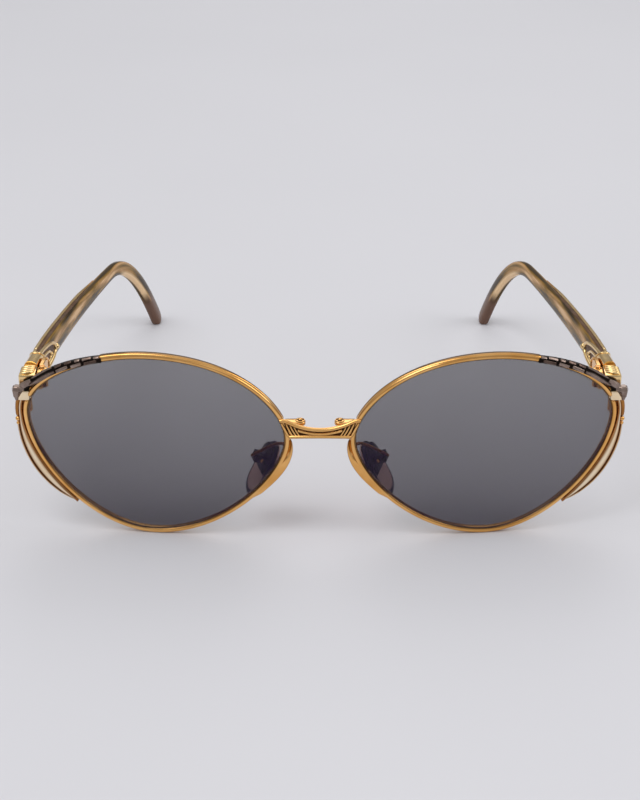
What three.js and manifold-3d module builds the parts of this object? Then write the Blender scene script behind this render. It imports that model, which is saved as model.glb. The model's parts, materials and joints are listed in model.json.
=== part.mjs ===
// Oval metal sunglasses: grooved wire rims, a fluted bridge, side bars, rocking nose pads,
// and temples of clear plastic over a metal core on three-knuckle hinges.
// Millimetres. +X is the wearer's left, +Y runs from the front to the ears, +Z is up.
// The glasses stand open on a table, on the two rims and the two temple tips.

import * as THREE from "three";
import { mergeVertices } from "three/addons/utils/BufferGeometryUtils.js";
import Module from "manifold-3d";

const wasm = await Module();
wasm.setup();

const degrees = THREE.MathUtils.degToRad;

// Lenses: size of the bevelled edge, and how they sit in the front
const lensWidth = 61;
const lensHeight = 46;
const lensThickness = 1.8;
const lensRadius = 130;
const lensGap = 16.2;
const bevelHeight = 0.5;
const bevelWidth = 0.9;
const faceForm = degrees(5);
const frontTilt = degrees(1.5);

// Lens outline: where its four extremes lie off the lens centre, and how far each curve runs
// straight on before it turns, as a share of its quarter
const topAcross = 1.0;
const templeRise = 6.8;
const bottomAcross = 1.2;
const noseRise = 2.0;
const roundness = {
  templeUp: 0.51,
  topOut: 0.51,
  topIn: 0.67,
  noseUp: 0.36,
  noseDown: 0.33,
  bottomIn: 0.53,
  bottomOut: 0.48,
  templeDown: 0.4,
};

// Rims: a wire with a groove for the lens, split beside the temple so that the lens can go in
const rimOutside = 1.05;
const rimLip = 0.3;
const rimDepth = 2.0;
const rimShoulder = 0.2;
const rimEase = 0.15;
const rimSplit = 0.3;
const splitRise = 10.35;
const grooveClearance = 0.12;
const solderGap = 0.12;

// Gold bar let into the top of the rim, at its back
const browHeight = 0.65;
const browRaise = 0.45;
const browNoseRaise = 0.1;
const browDepth = 1.0;

// Dark trim let into the rim, and the cap on its end
const trimStart = 11.5;
const trimHeight = 1.45;
const trimEndHeight = 1.8;
const trimLip = 0.25;
const trimLift = 0.65;
const trimForward = 0.3;
const trimPlate = 0.5;
const trimDepth = 2.1;
const capWidth = 2.3;
const capHeight = 3.7;
const capDepth = 2.8;
const capOut = 1.9;
const capAboveSplit = 1.3;
const capForward = 1.3;

// Bars beside the rim
const sideBarEnd = 19.0;
const sideBarTopWidth = 1.0;
const sideBarThinnest = 0.25;
const sideBarWidth = 1.6;
const sideBarDepth = 1.9;
const sideRodEnd = 18.4;
const sideRodWidth = 0.65;
const sideRodDepth = 1.3;
const sideRodGap = 0.15;

// Crescent on the nose side of the rim
const flangeEnd = -22.3;
const flangeThinnest = 0.2;
const flangeWidth = 0.95;
const flangeDepth = 1.5;

// Bridge, its two lugs and their rivets; heights are above the rim's nose end
const bridgeTopEnd = 5.6;
const bridgeTopMiddle = 3.5;
const bridgeBottomEnd = 0.9;
const bridgeBottomMiddle = 1.3;
const bridgeDepth = 2.0;
const bridgeCover = 0.6;
const bridgeArch = 0.5;
const lugReach = 4.2;
const lugWidth = 2.4;
const lugThickness = 1.0;
const lugRise = 4.2;
const rivetHeadRadius = 0.85;
const rivetHeadHeight = 0.4;
const rivetShankRadius = 0.45;
const rivetClearance = 0.1;

// Screws and their holes
const screwRadius = 0.5;
const screwHoleRadius = 0.62;
const screwHeadRadius = 0.7;
const screwHeadHeight = 0.5;
const slotWidth = 0.3;
const slotDepth = 0.22;

// Hinges: the axis stands inside the lens's temple end and behind the rim
const hingeInset = 3.9;
const hingeSetback = 4.6;
const hingeAboveSplit = 2.6;
const knuckleRadius = 1.1;
const knuckleHeight = 1.5;
const knuckleGap = 0.12;
const leafThickness = 1.0;
const leafReach = 8.0;
const frontLeafReach = 3.6;
const leafNeck = 1.45;

// End pieces and rim locks
const endPieceWidth = 3.9;
const endPieceHeight = 4.8;
const endPieceChamfer = 0.7;
const endPieceReach = 4.0;
const endPieceStop = 1.2;
const lockHeight = 5.0;
const lockWidth = 2.5;
const lockDepth = 2.6;
const overSplitHeight = 2.0;
const overSplitOut = 2.5;

// Temples: the middle line from the hinge to the ear, and the curve from there down to the tip
const templeAboveHinge = -0.4;
const templeReach = 80.6;
const templeToeIn = 9.6;
const templeBow = 1.3;
const templeFall = 7.4;
const bendRun = 20.5;
const tipToeIn = 19.2;
const tipReach = 112.5;
const tipRise = -0.9;
const tipRounding = 2.4;
const sleeveThickness = 2.6;
const sleeveTipThickness = 3.0;
const sleeveFrontHeight = 6.6;
const sleeveEarHeight = 3.9;
const sleeveTipHeight = 5.6;
const coreThickness = 1.0;
const coreHeight = 2.2;
const coreEndsBefore = 14;
const coreClearance = 0.12;
const ferruleWall = 0.45;
const ferruleLength = 20.5;
const ferruleArch = 9;
const ferruleFloor = 1.4;
const ferruleGap = 0.3;
const ferruleFit = 0.1;
const beadRadius = 0.75;
const stripThickness = 0.4;
const stripWidth = 0.8;
const stripLength = 50;

// Nose pads, their boxes and arms; places are off the rim's nose end
const padLength = 16.5;
const padWidth = 8.0;
const padThickness = 1.7;
const padOut = 5.7;
const padBehind = 6.2;
const padBelow = 11.9;
const padLean = degrees(-28);
const padSplay = degrees(-20);
const padPlateWidth = 6.4;
const padPlateLength = 8.5;
const padPlateThickness = 0.45;
const padPivotUp = 3.2;
const padPivotOut = 0.85;
const padLugWidth = 1.4;
const padLugHeight = 1.7;
const padBoxWall = 0.45;
const padBoxHeight = 2.2;
const padBoxClearance = 0.35;
const padPlay = 0.12;
const padScrewShare = 0.7;
const armRadius = 0.55;
const armDrop = 2.5;
const armSpread = 0.4;
const armBack = 1.4;
const armLift = 1.2;

// How finely curved things are cut into facets
const outlineSteps = 64;
const templeSteps = 26;
const ferruleSteps = 6;
const roundSides = 16;

// Derived places
const lensCentreX = lensGap / 2 + lensWidth / 2;
const lensMiddle = lensThickness / 2;
const rimFront = lensMiddle - rimDepth / 2;
const rimBack = lensMiddle + rimDepth / 2;
const onRim = rimOutside + solderGap;
const ferruleHalf = sleeveThickness / 2 + ferruleFit + ferruleWall;

const gold = new THREE.MeshStandardMaterial({ color: 0xd9a441, roughness: 0.22, metalness: 1 });
const enamel = new THREE.MeshStandardMaterial({ color: 0x3a2a22, roughness: 0.35, metalness: 0.6 });
const tint = new THREE.MeshStandardMaterial({
  color: 0x5d5b66,
  roughness: 0.05,
  transparent: true,
  opacity: 0.6,
});
const champagne = new THREE.MeshStandardMaterial({
  color: 0xcbb187,
  roughness: 0.2,
  transparent: true,
  opacity: 0.75,
});
const padPlastic = new THREE.MeshStandardMaterial({
  color: 0x9a7f7c,
  roughness: 0.25,
  transparent: true,
  opacity: 0.7,
});

// Solids

// A geometry as a manifold solid, turned so that its faces point outwards.
function solid(geometry) {
  const bare = new THREE.BufferGeometry();
  bare.setAttribute("position", geometry.getAttribute("position"));
  bare.setIndex(geometry.index);
  const merged = mergeVertices(bare, 1e-4);
  const triVerts = new Uint32Array(merged.index.array);
  const vertProperties = merged.getAttribute("position").array;
  const make = () => new wasm.Manifold(new wasm.Mesh({ numProp: 3, vertProperties, triVerts }));
  const made = make();
  if (made.volume() > 0) return made;
  for (let i = 0; i < triVerts.length; i += 3) {
    [triVerts[i + 1], triVerts[i + 2]] = [triVerts[i + 2], triVerts[i + 1]];
  }
  return make();
}

// A manifold solid back as a geometry with flat shading.
function geometryOf(made) {
  const { vertProperties, triVerts } = made.getMesh();
  const geometry = new THREE.BufferGeometry();
  geometry.setAttribute("position", new THREE.BufferAttribute(vertProperties, 3));
  geometry.setIndex(new THREE.BufferAttribute(triVerts, 1));
  const flat = geometry.toNonIndexed();
  flat.computeVertexNormals();
  return flat;
}

// Joins rings of points, each with as many points, into one closed skin. The outline, the
// ring's points in two dimensions, says how each end is closed.
function skin(rings, outline) {
  const sides = rings[0].length;
  const last = (rings.length - 1) * sides;
  const index = [];
  for (let here = 0; here < last; here += sides) {
    for (let j = 0; j < sides; j += 1) {
      const a = here + j;
      const b = here + ((j + 1) % sides);
      index.push(a, b, a + sides, b, b + sides, a + sides);
    }
  }
  for (const [a, b, c] of THREE.ShapeUtils.triangulateShape(outline, [])) {
    index.push(a, c, b, last + a, last + b, last + c);
  }
  const geometry = new THREE.BufferGeometry().setFromPoints(rings.flat());
  geometry.setIndex(index);
  return solid(geometry);
}

const flatOutline = (section) => section.map(([a, b]) => new THREE.Vector2(a, b));

function box(low, high) {
  const size = new THREE.Vector3().subVectors(high, low);
  const middle = new THREE.Vector3().addVectors(low, high).multiplyScalar(0.5);
  const geometry = new THREE.BoxGeometry(size.x, size.y, size.z);
  return solid(geometry.translate(middle.x, middle.y, middle.z));
}

// A round bar standing on a point, along Z.
function pillar(x, y, z, radius, height, topRadius = radius) {
  const geometry = new THREE.CylinderGeometry(topRadius, radius, height, roundSides);
  geometry.rotateX(Math.PI / 2);
  return solid(geometry.translate(x, y, z + height / 2));
}

// A slotted screw along Z: its head's flat underside at z, the shank hanging below it.
function slottedScrew(x, y, z, length) {
  const head = pillar(x, y, z, screwHeadRadius, screwHeadHeight, screwHeadRadius * 0.85);
  const shank = pillar(x, y, z - length, screwRadius, length + screwHeadHeight / 2);
  const top = z + screwHeadHeight;
  const slot = box(
    new THREE.Vector3(x - screwHeadRadius * 1.2, y - slotWidth / 2, top - slotDepth),
    new THREE.Vector3(x + screwHeadRadius * 1.2, y + slotWidth / 2, top + slotDepth),
  );
  return head.add(shank).subtract(slot);
}

function moved(made, matrix) {
  return solid(geometryOf(made).applyMatrix4(matrix));
}

// Lens outline, in the eye's own frame: u towards the temple, w up, depth back along the lens

// The edge of the lens, round from the temple over the top to the nose and back underneath.
function lensOutline() {
  const a = lensWidth / 2;
  const b = lensHeight / 2;
  const r = roundness;
  const path = new THREE.Path();
  path.moveTo(a, templeRise);
  path.bezierCurveTo(
    a,
    templeRise + r.templeUp * (b - templeRise),
    topAcross + r.topOut * (a - topAcross),
    b,
    topAcross,
    b,
  );
  path.bezierCurveTo(
    topAcross - r.topIn * (a + topAcross),
    b,
    -a,
    noseRise + r.noseUp * (b - noseRise),
    -a,
    noseRise,
  );
  path.bezierCurveTo(
    -a,
    noseRise - r.noseDown * (b + noseRise),
    bottomAcross - r.bottomIn * (a + bottomAcross),
    -b,
    bottomAcross,
    -b,
  );
  path.bezierCurveTo(
    bottomAcross + r.bottomOut * (a - bottomAcross),
    -b,
    a,
    templeRise - r.templeDown * (b + templeRise),
    a,
    templeRise,
  );
  return path;
}

const outline = lensOutline();
const outlineLength = outline.getLength();
const topShare = outline.curves[0].getLength() / outlineLength;
const noseShare = topShare + outline.curves[1].getLength() / outlineLength;
const bottomShare = noseShare + outline.curves[2].getLength() / outlineLength;

const across = (share) => outline.getPointAt(share).x;
const rise = (share) => outline.getPointAt(share).y;

// Share of the way round, between two shares, where a measure of it crosses a value.
function shareWhere(measure, value, from, to) {
  let low = from;
  let high = to;
  const rising = measure(to) > measure(from);
  for (let i = 0; i < 40; i += 1) {
    const middle = (low + high) / 2;
    if (measure(middle) < value === rising) low = middle;
    else high = middle;
  }
  return (low + high) / 2;
}

const splitShare = shareWhere(rise, splitRise, 0, topShare);

// A point of the edge, with the way outwards from it.
function edgePoint(share) {
  const point = outline.getPointAt(share % 1);
  const along = outline.getTangentAt(share % 1);
  return { share, u: point.x, w: point.y, outU: along.y, outW: -along.x };
}

// Points round the edge, from above the split over the top and the nose to below the split.
const edge = Array.from({ length: outlineSteps + 1 }, (_, i) => {
  const open = rimSplit / outlineLength;
  return edgePoint(splitShare + open / 2 + ((1 - open) * i) / outlineSteps);
});

// The edge between two shares, with the facets of the whole edge kept.
function edgeRun(from, to) {
  const at = (share) => {
    const next = edge.findIndex((e) => e.share > share);
    const a = edge[next - 1];
    const b = edge[next];
    const t = (share - a.share) / (b.share - a.share);
    const mix = (key) => a[key] + (b[key] - a[key]) * t;
    return { share, u: mix("u"), w: mix("w"), outU: mix("outU"), outW: mix("outW") };
  };
  const margin = 0.1 / outlineLength;
  const inner = edge.filter((e) => e.share > from + margin && e.share < to - margin);
  return [at(from), ...inner, at(to)];
}

// A place on the lens's sphere, depth back from its front face.
function lensPoint(u, w, depth) {
  const fall = Math.sqrt(lensRadius ** 2 - u ** 2 - w ** 2);
  const keep = 1 - depth / lensRadius;
  return new THREE.Vector3(u * keep, lensRadius - fall * keep, w * keep);
}

// Sweeps a section along part of the edge; the section gives [outwards, depth] pairs for a
// place on the run and its share along the run.
function alongEdge(run, section) {
  const rings = run.map((e, i) =>
    section(i / (run.length - 1), e).map(([out, depth]) =>
      lensPoint(e.u + e.outU * out, e.w + e.outW * out, depth),
    ),
  );
  return skin(rings, flatOutline(section(0, run[0])));
}

// A bar's section with bevelled corners.
function barSection(inside, outside, front, back) {
  const bevel = Math.min(outside - inside, back - front) * 0.28;
  return [
    [inside, front + bevel],
    [inside + bevel, front],
    [outside - bevel, front],
    [outside, front + bevel],
    [outside, back - bevel],
    [outside - bevel, back],
    [inside + bevel, back],
    [inside, back - bevel],
  ];
}

// Dark trim and its cap

const capAcross = lensWidth / 2 + capOut;
const capRise = splitRise + capAboveSplit;

// Barrel at the temple end of the dark trim. It can be grown all round, to cut room for it.
function endCap(grown = 0) {
  const middle = lensPoint(capAcross, capRise, lensMiddle - capForward);
  const half = new THREE.Vector3(capWidth, capDepth, capHeight).multiplyScalar(0.5).addScalar(grown);
  const levels = [
    [-1, 0.6],
    [-0.75, 0.9],
    [0, 1],
    [0.75, 0.9],
    [1, 0.6],
  ];
  const rings = levels.map(([level, share]) =>
    Array.from({ length: roundSides }, (_, j) => {
      const turn = ((j + 0.5) / roundSides) * 2 * Math.PI;
      const x = middle.x + half.x * share * Math.cos(turn);
      const y = middle.y + half.y * share * Math.sin(turn);
      return new THREE.Vector3(x, y, middle.z + half.z * level);
    }),
  );
  return skin(
    rings,
    rings[0].map((p) => new THREE.Vector2(p.x, p.y)),
  );
}

// The dark trim's run: along the rim's edge, lifting off it, to where it points at the cap, and
// then straight on. Each place has its lift off the edge, its height and how far it is filled.
function trimRun() {
  const middle = trimLift - trimLip + trimEndHeight / 2;
  const end = {
    u: capAcross - capWidth / 2 - solderGap,
    w: capRise + capHeight / 2 - trimEndHeight / 4,
  };
  const offAim = (share) => {
    const e = edgePoint(share);
    return e.outU * (end.u - e.u - e.outU * middle) + e.outW * (end.w - e.w - e.outW * middle);
  };
  const start = shareWhere(across, trimStart, splitShare, topShare);
  const leave = shareWhere(offAim, 0, splitShare, start);
  const run = edgeRun(leave, start)
    .reverse()
    .map((e) => ({ ...e, off: (start - e.share) / (start - leave), fill: 0 }));
  const last = run.at(-1);
  const toU = end.u - last.u - last.outU * middle;
  const toW = end.w - last.w - last.outW * middle;
  const straight = [0.3, 0.55, 0.8, 1].map((share) => ({
    ...last,
    u: last.u + toU * share,
    w: last.w + toW * share,
    fill: share,
  }));
  return [...run, ...straight];
}

// Dark trim over the front and top of the rim, a full bar where it has left the rim. It can be
// grown all round, to cut room for it.
function browTrim(grown = 0) {
  const front = rimFront - trimForward - grown;
  const back = rimFront - trimForward + trimDepth + grown;
  const plateBack = rimFront - trimForward + trimPlate + grown;
  return alongEdge(trimRun(), (t, { off, fill }) => {
    const low = trimLift * off - trimLip;
    const high = low + THREE.MathUtils.lerp(trimHeight, trimEndHeight, off) + grown;
    const inner = THREE.MathUtils.lerp(high - trimPlate - 2 * grown, low, 0.9 * fill);
    return [
      [low - grown, front],
      [high, front],
      [high, back],
      [inner, back],
      [inner, plateBack],
      [low - grown, plateBack],
    ];
  });
}

// Rims and lenses

function rimSection() {
  const half = rimDepth / 2;
  const grooveHalf = ((rimLip + grooveClearance) * bevelWidth) / 2 / bevelHeight;
  const round = [-90, -45, 0, 45, 90].map((turn) => [
    rimShoulder + (rimOutside - rimShoulder) * Math.cos(degrees(turn)),
    lensMiddle + half * Math.sin(degrees(turn)),
  ]);
  return [
    [-rimLip, lensMiddle - grooveHalf],
    [-rimLip, lensMiddle - half + rimEase],
    ...round,
    [-rimLip, lensMiddle + half - rimEase],
    [-rimLip, lensMiddle + grooveHalf],
    [grooveClearance, lensMiddle],
  ];
}

// Gold bar in the top of the rim, from the bridge to the start of the dark trim. It can be
// grown all round, to cut room for it.
function browBar(grown = 0) {
  const from = shareWhere(across, trimStart - solderGap, splitShare, topShare);
  const to = shareWhere(rise, noseRise + bridgeTopEnd + browHeight, topShare, noseShare);
  const margin = grown / outlineLength;
  const low = rimOutside + browNoseRaise - browHeight - grown;
  return alongEdge(edgeRun(from - margin, to + margin), (t) => {
    const high = rimOutside + THREE.MathUtils.lerp(browRaise, browNoseRaise, t) + grown;
    return barSection(low, high, rimBack - browDepth - grown, rimBack + 2 * grown);
  });
}

// Grooved rim, with the seats of the gold bar and the dark trim cut into it.
function rim() {
  return alongEdge(edge, rimSection)
    .subtract(browTrim(solderGap))
    .subtract(browBar(solderGap));
}

function lens() {
  const ring = (share, inset, depth) =>
    edge.map((e) => lensPoint((e.u - e.outU * inset) * share, (e.w - e.outW * inset) * share, depth));
  const shares = [0.25, 0.65, 1];
  const rings = [
    ...shares.map((share) => ring(share, bevelHeight, 0)),
    ring(1, bevelHeight, lensMiddle - bevelWidth / 2),
    ring(1, 0, lensMiddle),
    ring(1, bevelHeight, lensMiddle + bevelWidth / 2),
    ...shares.toReversed().map((share) => ring(share, bevelHeight, lensThickness)),
  ];
  return skin(
    rings,
    edge.map((e) => new THREE.Vector2(e.u, e.w)),
  );
}

// Where an eye sits: turned back at the temple and under, with the rim standing on the table.
const eyeTurn = new THREE.Matrix4().makeRotationFromEuler(new THREE.Euler(frontTilt, 0, faceForm));
const rimBottom = moved(rim(), eyeTurn).boundingBox().min[2];
const eyePlace = eyeTurn.clone().setPosition(lensCentreX, 0, -rimBottom);

// Everything inside a line round the edge, reach outwards from it, as deep as the rim and extra
// more at its front and back, to cut what stands against the rim.
function eyeRoom(extra, reach = onRim) {
  const ring = (depth) => edge.map((e) => lensPoint(e.u + e.outU * reach, e.w + e.outW * reach, depth));
  return skin(
    [ring(rimFront - extra), ring(rimBack + extra)],
    edge.map((e) => new THREE.Vector2(e.u, e.w)),
  );
}

// The rim's nose and temple ends, and its split, in the frame of the whole object.
const noseEnd = lensPoint(-lensWidth / 2, noseRise, rimFront).applyMatrix4(eyePlace);
const templeEnd = lensPoint(lensWidth / 2, templeRise, rimBack).applyMatrix4(eyePlace);
const splitPlace = lensPoint(lensWidth / 2, splitRise, rimBack).applyMatrix4(eyePlace);

// Bars along the rims

const barTop = 1 + shareWhere(rise, capRise - capHeight / 2 - 2 * solderGap, 0, topShare);
const barBottom = shareWhere(across, sideBarEnd, bottomShare, 1);

// Width of the broad side bar at a share of the way round: nothing at its lower end, widest
// below the middle, narrower where it meets the end piece.
function sideBarWidthAt(share) {
  const t = THREE.MathUtils.clamp((share - barBottom) / (barTop - barBottom), 0, 1);
  const swell = sideBarWidth * Math.sin(Math.PI * t ** 0.75);
  return Math.max(swell, sideBarTopWidth * THREE.MathUtils.smoothstep(t, 0.3, 0.9));
}

// Broad bar beside the rim, from the end piece down to where it dies into the rim.
function sideBar() {
  return alongEdge(edgeRun(barBottom, barTop), (t, e) => {
    const width = Math.max(sideBarWidthAt(e.share), sideBarThinnest);
    return barSection(onRim, onRim + width, rimBack - sideBarDepth, rimBack);
  }).subtract(endCap(solderGap));
}

// Thin rod outside the broad bar, its lower end against the rim.
function sideRod() {
  const from = shareWhere(across, sideRodEnd, bottomShare, 1);
  const front = lensMiddle - sideRodDepth / 2;
  return alongEdge(edgeRun(from, barTop), (t, e) => {
    const inside = onRim + sideRodGap + Math.max(sideBarWidthAt(e.share), sideBarThinnest);
    return barSection(inside, inside + sideRodWidth, front, front + sideRodDepth);
  }).subtract(endCap(solderGap));
}

// Crescent on the nose side of the rim, under the bridge.
function noseFlange() {
  const top = noseRise + bridgeBottomEnd - 4 * solderGap;
  const from = shareWhere(rise, Math.min(top, noseRise - solderGap), noseShare, bottomShare);
  const to = shareWhere(across, flangeEnd, noseShare, bottomShare);
  const front = lensMiddle - flangeDepth / 2;
  return alongEdge(edgeRun(from, to), (t) => {
    const width = flangeThinnest + flangeWidth * Math.sin(Math.PI * t ** 0.85);
    return barSection(onRim, onRim + width, front, front + flangeDepth);
  });
}

// Bridge

// A room of one eye as the room of both.
function bothEyes(room) {
  const left = moved(room, eyePlace);
  return left.add(moved(left, new THREE.Matrix4().makeScale(-1, 1, 1)));
}

const bridgeHalf = lensGap / 2 + 2 * rimOutside;

// Saddle between the rims, arched forward in the middle, with ends that lie over the rims' fronts.
function bridge() {
  const steps = 12;
  const rings = [];
  for (let i = 0; i <= steps; i += 1) {
    const x = bridgeHalf * ((2 * i) / steps - 1);
    const share = Math.min(1, Math.abs(x) / (lensGap / 2)) ** 2;
    const top = noseEnd.z + THREE.MathUtils.lerp(bridgeTopMiddle, bridgeTopEnd, share);
    const bottom = noseEnd.z + THREE.MathUtils.lerp(bridgeBottomMiddle, bridgeBottomEnd, share);
    const front = noseEnd.y - bridgeCover - bridgeArch * (1 - share);
    const section = barSection(bottom, top, front, front + bridgeDepth);
    rings.push(section.map(([z, y]) => new THREE.Vector3(x, y, z)));
  }
  const saddle = skin(
    rings,
    rings[0].map((p) => new THREE.Vector2(p.z, p.y)),
  );
  return saddle
    .subtract(bothEyes(eyeRoom(solderGap)))
    .subtract(bothEyes(eyeRoom(2 * bridgeDepth, solderGap - rimLip)));
}

const lugTop = noseEnd.z + lugRise;
const lugBack = noseEnd.y - bridgeCover + bridgeDepth + solderGap + lugWidth / 2;
const rivetAcross = lugReach + lugWidth / 2;

// Lug behind each end of the bridge, from the back of the rim, with a rivet standing in it.
function bridgeLug() {
  const shape = new THREE.Shape();
  shape.moveTo(bridgeHalf, -lugWidth / 2);
  shape.lineTo(bridgeHalf, lugWidth / 2);
  shape.lineTo(rivetAcross, lugWidth / 2);
  shape.absarc(rivetAcross, 0, lugWidth / 2, Math.PI / 2, (3 * Math.PI) / 2);
  const settings = { depth: lugThickness, bevelEnabled: false, curveSegments: roundSides / 2 };
  const plate = new THREE.ExtrudeGeometry(shape, settings);
  plate.translate(0, lugBack, lugTop - lugThickness);
  const holeRadius = rivetShankRadius + rivetClearance;
  const hole = pillar(rivetAcross, lugBack, lugTop - 2 * lugThickness, holeRadius, 3 * lugThickness);
  return solid(plate)
    .subtract(hole)
    .subtract(bothEyes(eyeRoom(solderGap)));
}

// Domed rivet, its shank down through the lug.
function bridgeRivet() {
  const profile = [
    new THREE.Vector2(0, -lugThickness),
    new THREE.Vector2(rivetShankRadius, -lugThickness),
    new THREE.Vector2(rivetShankRadius, rivetClearance),
  ];
  for (const turn of [0, 22.5, 45, 67.5]) {
    const x = rivetHeadRadius * Math.cos(degrees(turn));
    const y = rivetClearance + rivetHeadHeight * Math.sin(degrees(turn));
    profile.push(new THREE.Vector2(x, y));
  }
  profile.push(new THREE.Vector2(0, rivetClearance + rivetHeadHeight));
  const lathe = new THREE.LatheGeometry(profile, roundSides);
  lathe.rotateX(Math.PI / 2);
  return solid(lathe.translate(rivetAcross, lugBack, lugTop));
}

// Rim locks, end pieces and their screws

const hingeAcross = lensGap / 2 + lensWidth - hingeInset;
const hingeBack = templeEnd.y + hingeSetback;
const hingeRise = splitPlace.z + hingeAboveSplit;
const hingeSide = hingeAcross + knuckleRadius + solderGap;
const stopBack = hingeBack + endPieceStop;
const lockAcross = lensWidth / 2 + rimOutside;
const lockMiddle = lensPoint(lockAcross, splitRise, rimBack + solderGap + lockDepth / 2);
const lockTop = splitRise - rimSplit / 2;
const lockBottom = lockTop - lockHeight;
const overSplit = splitRise + rimSplit / 2;

// Lower half of the rim's lock, behind the rim under the split, with the screw's seat in it.
function rimLock() {
  const half = new THREE.Vector3(lockWidth / 2, lockDepth / 2, 0);
  const block = box(
    lockMiddle.clone().sub(half).setZ(lockBottom),
    lockMiddle.clone().add(half).setZ(lockTop),
  );
  const below = lockBottom - screwHeadHeight;
  const hole = pillar(lockMiddle.x, lockMiddle.y, below, screwHoleRadius, 2 * lockHeight);
  const seatRadius = screwHeadRadius + solderGap;
  const seat = pillar(lockMiddle.x, lockMiddle.y, below, seatRadius, 2 * screwHeadHeight + solderGap);
  return block
    .subtract(eyeRoom(solderGap, onRim + 2 * lockWidth))
    .subtract(hole)
    .subtract(seat);
}

const lockScrewBite = 0.7 * overSplitHeight;

// Closing screw: it comes up from below, through the lock into the end piece.
function lockScrew() {
  const length = lockHeight - screwHeadHeight + rimSplit + lockScrewBite;
  const upright = new THREE.Matrix4()
    .makeRotationX(Math.PI)
    .setPosition(lockMiddle.x, lockMiddle.y, lockBottom + screwHeadHeight);
  return moved(slottedScrew(0, 0, 0, length), upright);
}

// End piece: a block over the split, round the rim, and a lug behind it that carries the hinge.
function endPiece() {
  const outer = hingeSide + endPieceWidth;
  const front = stopBack - endPieceStop - endPieceReach;
  const plan = new THREE.Shape();
  plan.moveTo(hingeSide, front);
  plan.lineTo(outer - endPieceChamfer, front);
  plan.lineTo(outer, front + endPieceChamfer);
  plan.lineTo(outer, stopBack);
  plan.lineTo(hingeSide, stopBack);
  const plate = new THREE.ExtrudeGeometry(plan, { depth: endPieceHeight, bevelEnabled: false });
  plate.translate(0, 0, hingeRise - endPieceHeight / 2);
  const blockFront = lensPoint(lensWidth / 2, splitRise, rimFront);
  const block = box(
    new THREE.Vector3(lockAcross - lockWidth / 2, blockFront.y, overSplit),
    new THREE.Vector3(lensWidth / 2 + overSplitOut, lockMiddle.y + lockDepth, overSplit + overSplitHeight),
  );
  const holeDepth = overSplit + lockScrewBite + 2 * solderGap - lockBottom;
  const hole = pillar(lockMiddle.x, lockMiddle.y, lockBottom, screwHoleRadius, holeDepth);
  const room = eyeRoom(solderGap).add(endCap(solderGap)).add(browTrim(solderGap)).add(hole);
  const hingeRoom = box(
    new THREE.Vector3(0, front - leafThickness, 0),
    new THREE.Vector3(hingeSide, 2 * stopBack, 2 * hingeRise),
  );
  const past = box(
    new THREE.Vector3(0, stopBack, 0),
    new THREE.Vector3(2 * outer, 2 * stopBack, 2 * hingeRise),
  );
  return solid(plate)
    .add(moved(block, eyePlace))
    .subtract(moved(room, eyePlace))
    .subtract(hingeRoom)
    .subtract(past);
}

// Hinges

const hingeHeight = 3 * knuckleHeight + 2 * knuckleGap;
const hingeBottom = hingeRise - hingeHeight / 2;
const middleBottom = hingeBottom + knuckleHeight + knuckleGap;

// One knuckle round the axis with a neck that runs to its leaf, forwards or backwards.
function knuckle(bottom, height, towards) {
  const barrel = pillar(hingeAcross, hingeBack, bottom, knuckleRadius, height);
  const reach = hingeBack + towards * (leafNeck + solderGap);
  const neck = box(
    new THREE.Vector3(hingeAcross, Math.min(hingeBack, reach), bottom),
    new THREE.Vector3(hingeAcross + leafThickness, Math.max(hingeBack, reach), bottom + height),
  );
  return barrel.add(neck);
}

// Flat leaf on a knuckle's neck; lean is how far it slants outwards for each millimetre back.
function leaf(towards, reach, lean) {
  const near = hingeBack + towards * leafNeck;
  const far = hingeBack + towards * reach;
  const shift = lean * (far - near);
  const plan = new THREE.Shape();
  plan.moveTo(hingeAcross, near);
  plan.lineTo(hingeAcross + leafThickness, near);
  plan.lineTo(hingeAcross + leafThickness + shift, far);
  plan.lineTo(hingeAcross + shift, far);
  const plate = new THREE.ExtrudeGeometry(plan, { depth: hingeHeight, bevelEnabled: false });
  return solid(plate.translate(0, 0, hingeBottom));
}

const pinHole = () => pillar(hingeAcross, hingeBack, hingeBottom - 1, screwHoleRadius, hingeHeight + 2);

function frontLeaf() {
  const upper = middleBottom + knuckleHeight + knuckleGap;
  return leaf(-1, frontLeafReach, 0)
    .add(knuckle(hingeBottom, knuckleHeight, -1))
    .add(knuckle(upper, knuckleHeight, -1))
    .subtract(pinHole());
}

function templeLeaf() {
  const along = temple.getTangentAt(0);
  return leaf(1, leafReach, along.x / along.y)
    .add(knuckle(middleBottom, knuckleHeight, 1))
    .subtract(pinHole());
}

function hingeScrew() {
  return slottedScrew(hingeAcross, hingeBack, hingeBottom + hingeHeight + solderGap / 2, hingeHeight);
}

// Temples

const templeAcross = hingeAcross + leafThickness + solderGap + ferruleHalf;

// Middle line of a temple: bowed from the hinge to the ear, and curved from there to the tip.
function templeLine() {
  const start = new THREE.Vector3(templeAcross, stopBack - ferruleGap, hingeRise + templeAboveHinge);
  const ear = start.clone().add(new THREE.Vector3(-templeToeIn, templeReach, -templeFall));
  const bow = start.clone().lerp(ear, 0.5).add(new THREE.Vector3(2 * templeBow, 0, 0));
  const corner = ear.clone().add(ear.clone().sub(bow).setLength(bendRun));
  const tip = new THREE.Vector3(templeAcross - tipToeIn, start.y + tipReach, tipRise);
  const line = new THREE.CurvePath();
  line.add(new THREE.QuadraticBezierCurve3(start, bow, ear));
  line.add(new THREE.QuadraticBezierCurve3(ear, corner, tip));
  return line;
}

const temple = templeLine();
const templeLength = temple.getLength();

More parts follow.
